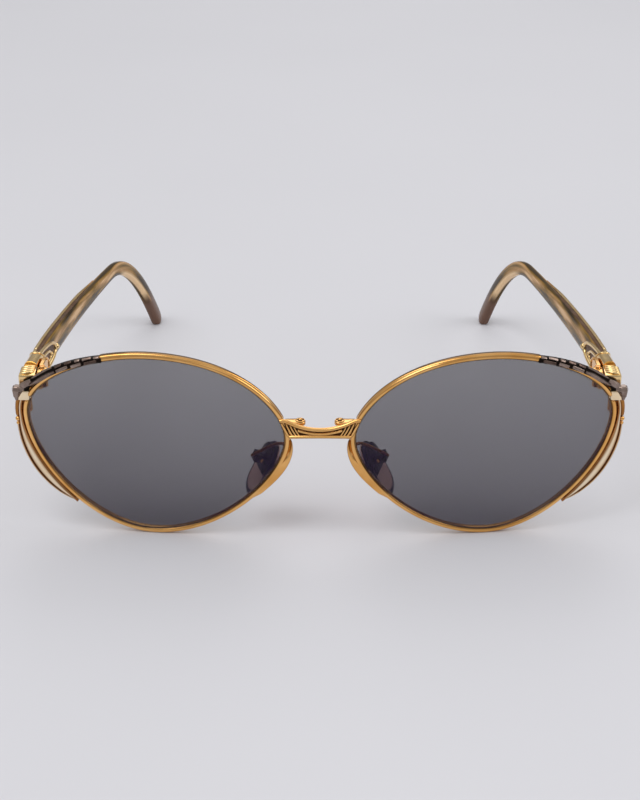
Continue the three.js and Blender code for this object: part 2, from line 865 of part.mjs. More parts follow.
// The points of a section, [out, up] pairs, a length along the temple.
function templeRing(length, section) {
  const share = THREE.MathUtils.clamp(length / templeLength, 0, 1);
  const middle = temple.getPointAt(share);
  const along = temple.getTangentAt(share);
  const out = new THREE.Vector3(1, 0, 0);
  out.addScaledVector(along, -out.dot(along)).normalize();
  const up = new THREE.Vector3().crossVectors(out, along);
  return section.map(([a, b]) => middle.clone().addScaledVector(out, a).addScaledVector(up, b));
}

// The rings of a section along the temple between two lengths.
function alongTemple(from, to, steps, section) {
  return Array.from({ length: steps + 1 }, (_, i) => {
    const length = THREE.MathUtils.lerp(from, to, i / steps);
    return templeRing(length, section(length));
  });
}

// Flat-sided oval, as points round the temple's middle line.
function ovalSection(thickness, height, sides = 12) {
  const bulge = (v) => Math.sign(v) * Math.abs(v) ** 0.7;
  return Array.from({ length: sides }, (_, j) => {
    const turn = ((j + 0.5) / sides) * 2 * Math.PI;
    return [(thickness / 2) * bulge(Math.cos(turn)), (height / 2) * bulge(Math.sin(turn))];
  });
}

const sleeveStart = ferruleFloor + ferruleFit;
const coreEnd = templeLength - coreEndsBefore;

// The sleeve's section a length along the temple, grown all round: tall at the hinge, slim
// along the side and larger again at the tip.
function sleeveSection(length, grown = 0) {
  const slim = THREE.MathUtils.clamp((length - ferruleLength) / (templeReach - ferruleLength), 0, 1);
  const widen = THREE.MathUtils.smoothstep(length, templeReach, templeLength - tipRounding);
  const front = THREE.MathUtils.lerp(sleeveFrontHeight, sleeveEarHeight, slim);
  const height = THREE.MathUtils.lerp(front, sleeveTipHeight, widen);
  const thickness = THREE.MathUtils.lerp(sleeveThickness, sleeveTipThickness, widen);
  return ovalSection(thickness + 2 * grown, height + 2 * grown);
}

// Clear sleeve with the core's pocket open at its front, rounded at the tip and flat
// underneath where it stands on the table.
function sleeve() {
  const rings = alongTemple(sleeveStart, templeLength - tipRounding, templeSteps, (length) =>
    sleeveSection(length),
  );
  for (const turn of [30, 55, 75]) {
    const share = Math.cos(degrees(turn));
    const length = templeLength - tipRounding * (1 - Math.sin(degrees(turn)));
    rings.push(templeRing(length, ovalSection(sleeveTipThickness * share, sleeveTipHeight * share)));
  }
  const body = skin(rings, flatOutline(sleeveSection(0)));
  const room = ovalSection(coreThickness + 2 * coreClearance, coreHeight + 2 * coreClearance, 8);
  const pocket = skin(
    alongTemple(0, coreEnd + coreClearance, templeSteps, () => room),
    flatOutline(room),
  );
  const table = box(
    new THREE.Vector3(0, 0, -sleeveTipHeight),
    new THREE.Vector3(2 * templeAcross, 2 * tipReach, 0),
  );
  return body.subtract(pocket).subtract(table);
}

// Metal core in the sleeve, from the ferrule's floor nearly to the tip.
function core() {
  const section = ovalSection(coreThickness, coreHeight, 8);
  return skin(
    alongTemple(sleeveStart, coreEnd, templeSteps, () => section),
    flatOutline(section),
  );
}

// Ornamental ferrule: a cup over the sleeve's front with an arched mouth on both faces, and a
// bead at the top of each arch.
function ferrule() {
  const whole = ferruleFit + ferruleWall;
  const rings = Array.from({ length: ferruleSteps + 1 }, (_, i) => {
    const share = i / ferruleSteps;
    return sleeveSection(0, whole).map(([out, up]) => {
      const edgeShare = Math.abs(up) / (sleeveFrontHeight / 2 + whole);
      const length = share * (ferruleLength - ferruleArch * edgeShare ** 2);
      return templeRing(length, [[out, up]])[0];
    });
  });
  const cup = skin(rings, flatOutline(sleeveSection(0, whole)));
  const roomSection = (length) => sleeveSection(length, ferruleFit);
  const room = skin(
    alongTemple(ferruleFloor, 2 * ferruleLength, templeSteps, roomSection),
    flatOutline(roomSection(0)),
  );
  const beads = [-1, 1].map((face) => {
    const out = face * (sleeveThickness / 2 + ferruleFit + ferruleWall / 2);
    const place = templeRing(ferruleLength - 1.2 * beadRadius, [[out, 0]])[0];
    const bead = new THREE.SphereGeometry(beadRadius, 12, 8);
    return solid(bead.translate(place.x, place.y, place.z));
  });
  const stop = box(
    new THREE.Vector3(0, 0, 0),
    new THREE.Vector3(2 * templeAcross, stopBack + ferruleGap, 2 * hingeRise),
  );
  return cup.add(beads[0]).add(beads[1]).subtract(room).subtract(stop);
}

// Thin strip along the top of the sleeve's outer edge, from the ferrule to mid temple.
function strip() {
  const start = ferruleLength - ferruleArch / 2;
  const section = (length) => {
    const top = Math.max(...sleeveSection(length).map(([, up]) => up)) + solderGap;
    const inner = sleeveThickness / 2 - stripWidth;
    return [
      [inner, top],
      [inner + stripWidth, top],
      [inner + 0.7 * stripWidth, top + stripThickness],
      [inner + 0.3 * stripWidth, top + stripThickness],
    ];
  };
  return skin(alongTemple(start, start + stripLength, templeSteps, section), flatOutline(section(start)));
}

// Nose pads: modelled upright, nose side towards -X, and then leaned and splayed into place

const padPlace = new THREE.Matrix4()
  .makeRotationY(padLean)
  .multiply(new THREE.Matrix4().makeRotationZ(padSplay))
  .setPosition(lensGap / 2 + padOut, noseEnd.y + rimDepth + padBehind, noseEnd.z - padBelow);
const padOuter = padThickness / 2;
const plateOuter = padOuter + solderGap + padPlateThickness;
const pivotX = plateOuter + padPivotOut;
const lugRadius = Math.hypot(padPivotOut, padLugHeight / 2);
const boxFloor = pivotX + lugRadius + padPlay;
const boxHalf = padLugWidth / 2 + padPlay + padBoxWall;

// The pad screw's hole, along Y through the pivot.
function crossBar(half) {
  const radius = screwHoleRadius * padScrewShare;
  const geometry = new THREE.CylinderGeometry(radius, radius, 2 * half, roundSides);
  return solid(geometry.translate(pivotX, 0, padPivotUp));
}

// Rounded pad with a flat bearing face.
function pad() {
  const a = padWidth / 2;
  const b = padLength / 2;
  const shape = new THREE.Shape();
  shape.moveTo(0, b);
  shape.bezierCurveTo(-a * 1.15, b, -a * 1.15, -b * 0.2, -a * 0.9, -b * 0.6);
  shape.bezierCurveTo(-a * 0.6, -b * 1.13, a * 0.6, -b * 1.13, a * 0.9, -b * 0.6);
  shape.bezierCurveTo(a * 1.15, -b * 0.2, a * 1.15, b, 0, b);
  const points = shape.getSpacedPoints(26).slice(0, -1);
  const levels = [
    [-1, 0.84],
    [-0.5, 0.97],
    [0, 1],
    [0.5, 0.97],
    [1, 0.86],
  ];
  const rings = levels.map(([level, share]) =>
    points.map((p) => new THREE.Vector3(padOuter * level, p.x * share, p.y * share)),
  );
  return skin(rings, points);
}

// Metal plate on the back of the pad, with the drilled lug that the pad rocks on.
function padPlate() {
  const half = padPlateWidth / 2;
  const shape = new THREE.Shape();
  shape.moveTo(-half, -padPlateLength / 2);
  shape.lineTo(half, -padPlateLength / 2);
  shape.lineTo(half, padPlateLength / 2 - half);
  shape.absarc(0, padPlateLength / 2 - half, half, 0, Math.PI);
  const settings = { depth: padPlateThickness, bevelEnabled: false, curveSegments: 6 };
  const plate = new THREE.ExtrudeGeometry(shape, settings);
  plate.rotateX(Math.PI / 2).rotateZ(Math.PI / 2);
  plate.translate(plateOuter - padPlateThickness, 0, padPivotUp);
  const lug = box(
    new THREE.Vector3(plateOuter - padPlateThickness, -padLugWidth / 2, padPivotUp - padLugHeight / 2),
    new THREE.Vector3(pivotX + padPivotOut, padLugWidth / 2, padPivotUp + padLugHeight / 2),
  );
  return solid(plate).add(lug).subtract(crossBar(padLugWidth));
}

// Open box that straddles the pad's lug.
function padBox() {
  const low = padPivotUp - padBoxHeight / 2;
  const high = padPivotUp + padBoxHeight / 2;
  const whole = box(
    new THREE.Vector3(plateOuter + padBoxClearance, -boxHalf, low),
    new THREE.Vector3(boxFloor + padBoxWall, boxHalf, high),
  );
  const room = box(
    new THREE.Vector3(0, padBoxWall - boxHalf, low - padBoxHeight),
    new THREE.Vector3(boxFloor, boxHalf - padBoxWall, high + padBoxHeight),
  );
  return whole.subtract(room).subtract(crossBar(2 * boxHalf));
}

// Screw through the box and the lug, from the front.
function padScrew() {
  const lying = new THREE.Matrix4()
    .makeRotationX(Math.PI / 2)
    .scale(new THREE.Vector3(padScrewShare, padScrewShare, padScrewShare))
    .setPosition(pivotX, -boxHalf - solderGap / 2, padPivotUp);
  return moved(slottedScrew(0, 0, 0, (2 * boxHalf) / padScrewShare), lying);
}

// Wire from the back of the rim, looped back and down to the box.
function padArm() {
  const share = shareWhere(rise, noseRise - armDrop, noseShare, bottomShare);
  const root = edgeRun(share, bottomShare)[0];
  const inwards = rimShoulder;
  const start = lensPoint(root.u + root.outU * inwards, root.w + root.outW * inwards, rimBack + armRadius);
  start.applyMatrix4(eyePlace);
  const end = new THREE.Vector3(boxFloor + padBoxWall + 2 * solderGap, 0, padPivotUp);
  end.applyMatrix4(padPlace);
  const outwards = new THREE.Vector3(1, 0, 0).transformDirection(padPlace);
  const line = new THREE.CatmullRomCurve3([
    start,
    start.clone().add(new THREE.Vector3(armSpread, armBack, 0)),
    start.clone().lerp(end, 0.6).add(new THREE.Vector3(armSpread, 0, armLift)),
    end.clone().addScaledVector(outwards, 2 * armRadius),
    end,
  ]);
  const circle = new THREE.Shape().absarc(0, 0, armRadius, 0, 2 * Math.PI);
  const wire = new THREE.ExtrudeGeometry(circle, { steps: 16, curveSegments: 8, extrudePath: line });
  return solid(wire);
}

// The whole object: one set of pieces for each side, mirrored for the wearer's right

function mesh(name, made, material) {
  const node = new THREE.Mesh(geometryOf(made), material);
  node.name = name;
  return node;
}

function oneSide(name, direction) {
  const side = new THREE.Group();
  side.scale.x = direction;
  const eye = new THREE.Group();
  eye.applyMatrix4(eyePlace);
  const nose = new THREE.Group();
  nose.applyMatrix4(padPlace);
  side.add(eye, nose);

  eye.add(mesh(`${name}_rim`, rim(), gold));
  eye.add(mesh(`${name}_lens`, lens(), tint));
  eye.add(mesh(`${name}_brow_bar`, browBar(), gold));
  eye.add(mesh(`${name}_brow_trim`, browTrim(), enamel));
  eye.add(mesh(`${name}_end_cap`, endCap(), enamel));
  eye.add(mesh(`${name}_side_bar`, sideBar(), gold));
  eye.add(mesh(`${name}_side_rod`, sideRod(), gold));
  eye.add(mesh(`${name}_nose_flange`, noseFlange(), gold));
  eye.add(mesh(`${name}_rim_lock`, rimLock(), gold));
  eye.add(mesh(`${name}_lock_screw`, lockScrew(), gold));

  nose.add(mesh(`${name}_nose_pad`, pad(), padPlastic));
  nose.add(mesh(`${name}_pad_plate`, padPlate(), gold));
  nose.add(mesh(`${name}_pad_box`, padBox(), gold));
  nose.add(mesh(`${name}_pad_screw`, padScrew(), gold));
  side.add(mesh(`${name}_pad_arm`, padArm(), gold));

  side.add(mesh(`${name}_bridge_lug`, bridgeLug(), gold));
  side.add(mesh(`${name}_bridge_rivet`, bridgeRivet(), gold));
  side.add(mesh(`${name}_end_piece`, endPiece(), gold));
  side.add(mesh(`${name}_front_leaf`, frontLeaf(), gold));
  side.add(mesh(`${name}_hinge_screw`, hingeScrew(), gold));

  side.add(mesh(`${name}_temple_leaf`, templeLeaf(), gold));
  side.add(mesh(`${name}_temple_core`, core(), gold));
  side.add(mesh(`${name}_temple_sleeve`, sleeve(), champagne));
  side.add(mesh(`${name}_temple_ferrule`, ferrule(), gold));
  side.add(mesh(`${name}_temple_strip`, strip(), gold));
  return side;
}

const sunglasses = new THREE.Group();
sunglasses.add(mesh("bridge", bridge(), gold));
sunglasses.add(oneSide("left", 1));
sunglasses.add(oneSide("right", -1));

// The origin is the middle of the box's bottom face.
const extent = new THREE.Box3().setFromObject(sunglasses, true);
const middle = extent.getCenter(new THREE.Vector3());
sunglasses.position.set(-middle.x, -middle.y, -extent.min.z);

export default sunglasses;
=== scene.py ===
"""Looks of a pair of gold oval sunglasses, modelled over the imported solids.

Sizes in the classes are millimetres, and become metres as a piece is made. X runs across the
face, Y from the front back to the tips, and Z up. Each piece is modelled on the wearer's left
and copied to the right, with a mesh of its own.
"""

import json
import logging
from bisect import bisect_left
from collections.abc import Callable, Sequence
from dataclasses import dataclass, field
from enum import Enum
from functools import cache, partial
from math import copysign, cos, pi, radians, sin, sqrt

import bmesh
import bpy
from mathutils import Matrix, Vector

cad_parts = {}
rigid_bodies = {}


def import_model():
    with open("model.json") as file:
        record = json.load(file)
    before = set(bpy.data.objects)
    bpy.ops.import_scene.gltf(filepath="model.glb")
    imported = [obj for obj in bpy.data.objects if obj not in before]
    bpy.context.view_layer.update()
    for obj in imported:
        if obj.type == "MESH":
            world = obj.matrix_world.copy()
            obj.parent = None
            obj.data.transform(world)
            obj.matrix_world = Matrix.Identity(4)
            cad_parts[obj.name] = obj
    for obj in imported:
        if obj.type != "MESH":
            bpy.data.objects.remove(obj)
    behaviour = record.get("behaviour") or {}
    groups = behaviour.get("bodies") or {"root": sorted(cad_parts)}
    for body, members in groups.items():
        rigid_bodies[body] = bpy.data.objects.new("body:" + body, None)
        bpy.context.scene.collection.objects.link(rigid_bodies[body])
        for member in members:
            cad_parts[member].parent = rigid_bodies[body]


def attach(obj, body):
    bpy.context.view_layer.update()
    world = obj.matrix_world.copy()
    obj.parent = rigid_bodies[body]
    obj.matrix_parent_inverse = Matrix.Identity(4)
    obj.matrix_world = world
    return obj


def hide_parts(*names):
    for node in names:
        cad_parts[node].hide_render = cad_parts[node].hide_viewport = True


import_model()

Piece = bpy.types.Object
Material = bpy.types.Material
Socket = bpy.types.NodeSocket
Span = tuple[float, float]
Triple = tuple[float, float, float]
Colour = tuple[float, float, float]
Pairs = tuple[Span, ...]
Section = list[Span]
Ring = list[Vector]
Crest = Callable[[Vector], Vector]
Reading = Callable[["EdgePoint"], float]

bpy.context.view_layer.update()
MM = 0.001
ALONG = "along_temple"
# Attribute that holds how much painted shade each corner gets down a flank.
PAINTED_SHADE_MARK = "painted_shade_amount"
LOG = logging.getLogger("sunglasses")
# Where most values of a noise texture lie.
NOISE_SPAN = (0.3, 0.7)
# Radius and height of a ball's rings, for a ball of radius 1.
BALL = ((0.1, -1.0), (0.5, -0.86), (0.86, -0.5), (1.0, 0.0), (0.86, 0.5), (0.5, 0.86), (0.1, 1.0))


class Side(Enum):
    """The wearer's two sides."""

    LEFT = "left"
    RIGHT = "right"


class Carrier(Enum):
    """What a piece moves with."""

    FRONT = "front"
    TEMPLE = "temple"
    PAD = "pad"

    def body(self, side: Side) -> str:
        """Name of the body that carries a piece of one side."""
        return self.value if self is Carrier.FRONT else f"{side.value}_{self.value}"


class Slot(Enum):
    """Material slots of the record."""

    GOLD = "gold"
    LENS = "lens_tint"
    ENAMEL = "dark_enamel"
    SLEEVE = "sleeve_plastic"
    PAD = "pad_plastic"


def clear_selection() -> None:
    """Leave edit mode and deselect every object."""
    active = bpy.context.view_layer.objects.active
    if active and active.mode != "OBJECT":
        bpy.ops.object.mode_set(mode="OBJECT")
    bpy.ops.object.select_all(action="DESELECT")


def take(piece: Piece) -> None:
    """Make a piece the only one selected, and the active one.

    Args:
        piece: the piece.
    """
    clear_selection()
    piece.select_set(True)
    bpy.context.view_layer.objects.active = piece


def named(name: str) -> Piece:
    """Name the piece that was just added, and its mesh.

    Args:
        name: the piece's name.

    Returns:
        The piece.
    """
    piece = bpy.context.object
    piece.name = name
    piece.data.name = name
    return piece


def edit_all() -> None:
    """Go into edit mode with every corner of the active piece selected."""
    bpy.ops.object.mode_set(mode="EDIT")
    bpy.ops.mesh.select_all(action="SELECT")


def face_outwards(piece: Piece) -> None:
    """Merge doubled corners and turn all faces outwards.

    Args:
        piece: the piece.
    """
    take(piece)
    edit_all()
    bpy.ops.mesh.remove_doubles(threshold=1e-7)
    bpy.ops.mesh.normals_make_consistent(inside=False)
    bpy.ops.object.mode_set(mode="OBJECT")


def apply_modifier(piece: Piece, kind: str, **settings: float | int | str | bool) -> None:
    """Add a modifier, set it and apply it.

    Args:
        piece: the piece to change.
        kind: Blender's type name of the modifier.
        settings: the modifier's properties.
    """
    take(piece)
    modifier = piece.modifiers.new(kind.title(), kind)
    for key, value in settings.items():
        setattr(modifier, key, value)
    bpy.ops.object.modifier_apply(modifier=modifier.name)


def soften(piece: Piece, degrees: float = 40.0) -> None:
    """Shade a piece smooth where its faces meet at less than an angle."""
    take(piece)
    bpy.ops.object.shade_smooth_by_angle(angle=radians(degrees))


def sweep(name: str, rings: Sequence[Ring], rounding: int = 0, degrees: float = 40.0) -> Piece:
    """Extrude a filled outline from ring to ring into a closed piece.

    Args:
        name: the piece's name.
        rings: rings of as many points each, in millimetres.
        rounding: levels of subdivision that round the piece off.
        degrees: angle over which an edge stays sharp.

    Returns:
        The piece.
    """
    clear_selection()
    count = len(rings[0])
    bpy.ops.mesh.primitive_circle_add(vertices=count, fill_type="NGON")
    piece = named(name)
    for corner, place in zip(piece.data.vertices, rings[0]):
        corner.co = place * MM
    edit_all()
    last = [place * MM for place in rings[0]]
    for ring in rings[1:]:
        bpy.ops.mesh.extrude_region()
        mesh = bmesh.from_edit_mesh(piece.data)
        cap = next(face for face in mesh.faces if face.select)
        corners = [loop.vert for loop in cap.loops]
        first = min(range(count), key=lambda i: (last[i] - corners[0].co).length_squared)
        onwards = (last[(first + 1) % count] - corners[1].co).length_squared
        backwards = (last[first - 1] - corners[1].co).length_squared
        step = 1 if onwards < backwards else -1
        places = [place * MM for place in ring]
        for k, corner in enumerate(corners):
            corner.co = places[(first + step * k) % count]
        last = places
    bpy.ops.object.mode_set(mode="OBJECT")
    face_outwards(piece)
    if rounding:
        apply_modifier(piece, "SUBSURF", levels=rounding, render_levels=rounding)
    soften(piece, degrees)
    return piece


def wire(name: str, path: Sequence[Vector], radius: float | Sequence[float], sides: int = 8) -> Piece:
    """Round wire along a path, its frame carried along without twist.

    Args:
        name: the piece's name.
        path: points in millimetres.
        radius: one radius, or one at each point.
        sides: corners of its section.

    Returns:
        The wire.
    """
    radii = [radius] * len(path) if isinstance(radius, (int, float)) else list(radius)
    across = Vector((0.0, 0.0, 1.0))
    rings = []
    for i, place in enumerate(path):
        along = (path[min(i + 1, len(path) - 1)] - path[max(i - 1, 0)]).normalized()
        across = (across - along * across.dot(along)).normalized()
        other = along.cross(across)
        ring = []
        for j in range(sides):
            turn = 2 * pi * j / sides
            ring.append(place + (across * cos(turn) + other * sin(turn)) * radii[i])
        rings.append(ring)
    return sweep(name, rings, rounding=1)


def turned(name: str, place: Matrix, profile: Section, sides: int = 20) -> Piece:
    """Turned piece: rings of a radius and a height along the place's Z axis.

    Args:
        name: the piece's name.
        place: where its axis stands, in millimetres.
        profile: pairs of radius and height.
        sides: corners of each ring.

    Returns:
        The piece.
    """
    rings = []
    for radius, height in profile:
        turns = (2 * pi * j / sides for j in range(sides))
        rings.append([place @ Vector((radius * cos(a), radius * sin(a), height)) for a in turns])
    return sweep(name, rings)


def block(name: str, size: Sequence[float], edge: float, place: Matrix) -> Piece:
    """Block with rounded edges.

    Args:
        name: the piece's name.
        size: its three sides in millimetres.
        edge: how far its edges are rounded.
        place: where its middle sits, in millimetres.

    Returns:
        The block.
    """
    clear_selection()
    bpy.ops.mesh.primitive_cube_add(size=MM)
    piece = named(name)
    edit_all()
    bpy.ops.transform.resize(value=tuple(size), center_override=(0.0, 0.0, 0.0))
    bpy.ops.mesh.bevel(offset=edge * MM, segments=2, affect="EDGES")
    bpy.ops.object.mode_set(mode="OBJECT")
    settle_at(piece, place)
    soften(piece)
    return piece


def in_metres(place: Matrix) -> Matrix:
    """The same place with its distance in metres."""
    return Matrix.Translation(place.to_translation() * MM) @ place.to_3x3().to_4x4()


def settle_at(piece: Piece, place: Matrix) -> None:
    """Move a piece to its place and put the place into its mesh.

    Args:
        piece: the piece, at the origin.
        place: the place in millimetres.
    """
    take(piece)
    piece.matrix_world = in_metres(place)
    bpy.ops.object.transform_apply(location=True, rotation=True, scale=True)


def copy_to(piece: Piece, name: str, place: Matrix) -> Piece:
    """Copy a piece with a mesh of its own and settle the copy at a place.

    Args:
        piece: the piece that is copied.
        name: the copy's name.
        place: the place in millimetres.

    Returns:
        The copy.
    """
    take(piece)
    bpy.ops.object.duplicate(linked=False)
    copy = named(name)
    settle_at(copy, place)
    return copy


def remove(piece: Piece) -> None:
    """Delete a piece that was only a pattern for copies."""
    take(piece)
    bpy.ops.object.delete()


def join(name: str, pieces: Sequence[Piece]) -> Piece:
    """Join pieces of one finish into one.

    Args:
        name: the joined piece's name.
        pieces: what is joined.

    Returns:
        The joined piece.
    """
    take(pieces[0])
    for piece in pieces[1:]:
        piece.select_set(True)
    if len(pieces) > 1:
        bpy.ops.object.join()
    return named(name)


def mirror_copy(piece: Piece, name: str) -> Piece:
    """Copy of a piece for the wearer's other side.

    Args:
        piece: the left piece.
        name: the copy's name.

    Returns:
        The right piece.
    """
    take(piece)
    bpy.ops.object.duplicate(linked=False)
    copy = named(name)
    copy.scale.x = -1.0
    bpy.ops.object.transform_apply(scale=True)
    edit_all()
    bpy.ops.mesh.normals_make_consistent(inside=False)
    bpy.ops.object.mode_set(mode="OBJECT")
    return copy


def mark_painted_shade(piece: Piece, *crests: Crest) -> None:
    """Keep on each corner how far the surface turns away from its crests, which sets the painted shade it
    gets there.

    Args:
        piece: the piece that is marked.
        crests: the ways that crests look at a place, in millimetres.
    """
    marks = piece.data.attributes.new(PAINTED_SHADE_MARK, "FLOAT", "POINT")
    for corner, mark in zip(piece.data.vertices, marks.data):
        place = corner.co / MM
        mark.value = 1.0 - max(abs(corner.normal.dot(crest(place))) for crest in crests)


def blend(start: float, end: float, share: float) -> float:
    """Value between two, a share of the way."""
    return start + (end - start) * share


def ease(low: float, high: float, value: float) -> float:
    """Smooth step of a value from 0 at low to 1 at high."""
    share = min(1.0, max(0.0, (value - low) / (high - low)))
    return share * share * (3 - 2 * share)


def shares(count: int, start: float = 0.0, end: float = 1.0) -> list[float]:
    """Evenly spaced values from start to end, both included."""
    return [blend(start, end, i / (count - 1)) for i in range(count)]


def run_lengths(points: Sequence[Vector]) -> list[float]:
    """Length of the way from the first of some points to each of them.

    Args:
        points: the points.

    Returns:
        The lengths, the first of them 0.
    """
    runs = [0.0]
    for before, after in zip(points, points[1:]):
        runs.append(runs[-1] + (after - before).length)
    return runs


def step_at(runs: Sequence[float], run: float) -> tuple[int, float]:
    """Number of the point that ends the step a run reaches, and the share of that step."""
    i = min(max(bisect_left(runs, run), 1), len(runs) - 1)
    return i, (run - runs[i - 1]) / (runs[i] - runs[i - 1])


def oval(
    inside: float,
    outside: float,
    front: float,
    back: float,
    sides: int = 10,
    square: float = 0.8,
) -> Section:
    """Rounded section between four limits.

    Args:
        inside: its inner limit.
        outside: its outer limit.
        front: its front limit.
        back: its back limit.
        sides: its corners.
        square: 1 for an ellipse, less for a squarer form.

    Returns:
        Pairs of distance outwards and depth.
    """
    points = []
    for j in range(sides):
        turn = 2 * pi * (j + 0.5) / sides
        out = copysign(abs(cos(turn)) ** square, cos(turn))
        deep = copysign(abs(sin(turn)) ** square, sin(turn))
        points.append((blend(inside, outside, (1 + out) / 2), blend(front, back, (1 + deep) / 2)))
    return points


@dataclass
class EdgePoint:
    """A point on the lens's edge and the way outwards from it."""

    across: float
    rise: float
    out_across: float
    out_rise: float


@dataclass
class Eye:
    """One eye: the lens's outline on its sphere, and where it sits in the object."""

    width: float = 61.0
    height: float = 46.0
    sphere: float = 130.0
    top_across: float = 1.0
    temple_rise: float = 6.8
    bottom_across: float = 1.2
    nose_rise: float = 2.0
    temple_up: float = 0.51
    top_out: float = 0.51
    top_in: float = 0.67
    nose_up: float = 0.36
    nose_down: float = 0.33
    bottom_in: float = 0.53
    bottom_out: float = 0.48
    temple_down: float = 0.4
    centre_across: float = 38.6
    lift: float = 23.7855
    set_back: float = -63.6797
    face_form: float = 5.0
    tilt: float = 1.5
    fineness: int = 600
    halvings: int = 40
    top_span: Span = (0.05, 0.4)
    corner_span: Span = (0.03, 0.21)
    nose_span: Span = (0.4675, 0.728)
    side_span: Span = (0.73, 1.0)
    # How the crests round the lens lean out and up; the flanks turned from them get painted shade.
    crest_lean: float = 0.3
    crest_lift: float = 0.15
    places: list[Vector] = field(default_factory=list)
    lengths: list[float] = field(default_factory=list)
    stand: Matrix = field(default_factory=Matrix)

    def __post_init__(self) -> None:
        """Lay out the outline and the eye's place."""
        tilt = Matrix.Rotation(radians(self.tilt), 4, "X")
        turn = tilt @ Matrix.Rotation(radians(self.face_form), 4, "Z")
        self.stand = Matrix.Translation((self.centre_across, self.set_back, self.lift)) @ turn
        for quarter in self.quarters():
            for i in range(self.fineness):
                self.places.append(self.bezier(quarter, i / self.fineness))
        self.places.append(self.places[0].copy())
        self.lengths = run_lengths(self.places)

    def quarters(self) -> list[list[Vector]]:
        """Control points of the outline's four quarters, from the temple over the top.

        Returns:
            Four control points for each quarter.
        """
        a = self.width / 2
        b = self.height / 2
        temple = Vector((a, self.temple_rise))
        top = Vector((self.top_across, b))
        nose = Vector((-a, self.nose_rise))
        bottom = Vector((self.bottom_across, -b))
        curves = []
        for start, corner, end, leaves, arrives in (
            (temple, (a, b), top, self.temple_up, self.top_out),
            (top, (-a, b), nose, self.top_in, self.nose_up),
            (nose, (-a, -b), bottom, self.nose_down, self.bottom_in),
            (bottom, (a, -b), temple, self.bottom_out, self.temple_down),
        ):
            curves.append([start, start.lerp(corner, leaves), end.lerp(corner, arrives), end])
        return curves

    @staticmethod
    def bezier(points: Sequence[Vector], t: float) -> Vector:
        """Point on a cubic curve.

        Args:
            points: its four control points.
            t: share of the way along it.

        Returns:
            The point.
        """
        s = 1 - t
        half = points[0] * s**3 + points[1] * (3 * s * s * t)
        return half + points[2] * (3 * s * t * t) + points[3] * t**3

    def edge(self, share: float) -> EdgePoint:
        """Point on the outline.

        Args:
            share: share of the way round, from the temple over the top.

        Returns:
            The point and the way outwards.
        """
        i, part = step_at(self.lengths, (share % 1.0) * self.lengths[-1])
        place = self.places[i - 1].lerp(self.places[i], part)
        along = (self.places[i] - self.places[i - 1]).normalized()
        return EdgePoint(place.x, place.y, along.y, -along.x)

    def share_where(self, value: Reading, aim: float, low: float, high: float) -> float:
        """Share at which a value of the edge is reached, between two shares.

        Args:
            value: what is read off an edge point.
            aim: the value looked for.
            low: share at one side of it.
            high: share at the other side.

        Returns:
            The share.
        """
        rising = value(self.edge(high)) > value(self.edge(low))
        for _ in range(self.halvings):
            middle = (low + high) / 2
            if (value(self.edge(middle)) < aim) == rising:
                low = middle
            else:
                high = middle
        return (low + high) / 2

    def share_across(self, aim: float, low: float, high: float) -> float:
        """Share at which the edge is so far across."""
        return self.share_where(lambda e: e.across, aim, low, high)

    def share_rise(self, aim: float, low: float, high: float) -> float:
        """Share at which the edge is so high."""
        return self.share_where(lambda e: e.rise, aim, low, high)

    def top_share(self) -> float:
        """Share at which the edge is highest."""
        return self.share_across(self.top_across, *self.top_span)

    def at(self, across: float, rise: float, depth: float) -> Vector:
        """Place of a point given across the lens, up it and behind its front.

        Args:
            across: distance across from the lens's middle.
            rise: distance up from it.
            depth: distance behind the lens's front.

        Returns:
            The place in millimetres.
        """
        keep = 1 - depth / self.sphere
        fall = sqrt(self.sphere**2 - across**2 - rise**2)
        return self.stand @ Vector((across * keep, self.sphere - fall * keep, rise * keep))

    def outwards(self, place: Vector) -> Vector:
        """The way from the lens's middle to a place."""
        return Vector((place.x - self.centre_across, 0.0, place.z - self.lift)).normalized()

    def crest(self, place: Vector) -> Vector:
        """The way that a crest round the lens looks at a place, forwards and outwards; flanks turned from it
        get painted shade.
        """
        forwards = Vector((0.0, -1.0, self.crest_lift))
        return (forwards + self.outwards(place) * self.crest_lean).normalized()

    def swept(self, name: str, rings: Sequence[Ring], *crests: Crest) -> Piece:
        """Rounded piece that runs round the lens, marked for painted shade away from its crest and any
        others.

        Args:
            name: the piece's name.
            rings: its rings.
            crests: its other crests.

        Returns:
            The piece.
        """
        piece = sweep(name, rings, rounding=2)
        mark_painted_shade(piece, self.crest, *crests)
        return piece

    def beyond(self, e: EdgePoint, out: float, depth: float) -> Vector:
        """Place a distance outwards from an edge point, and so deep."""
        return self.at(e.across + e.out_across * out, e.rise + e.out_rise * out, depth)

    def ring(self, e: EdgePoint, section: Section) -> Ring:
        """Ring of a section at an edge point."""
        return [self.beyond(e, out, depth) for out, depth in section]

    def frame_at(self, e: EdgePoint, out: float, depth: float) -> Matrix:
        """Place at the edge with X along it, Y towards the front and Z outwards.

        Args:
            e: the edge point.
            out: distance outwards.
            depth: distance behind the lens's front.

        Returns:
            The place in millimetres.
        """
        middle = self.beyond(e, out, depth)
        upwards = (self.beyond(e, out + 1, depth) - middle).normalized()
        forwards = (middle - self.beyond(e, out, depth + 1)).normalized()
        forwards = (forwards - upwards * forwards.dot(upwards)).normalized()
        along = forwards.cross(upwards)
        turn = Matrix((along, forwards, upwards)).transposed().to_4x4()
        return Matrix.Translation(middle) @ turn


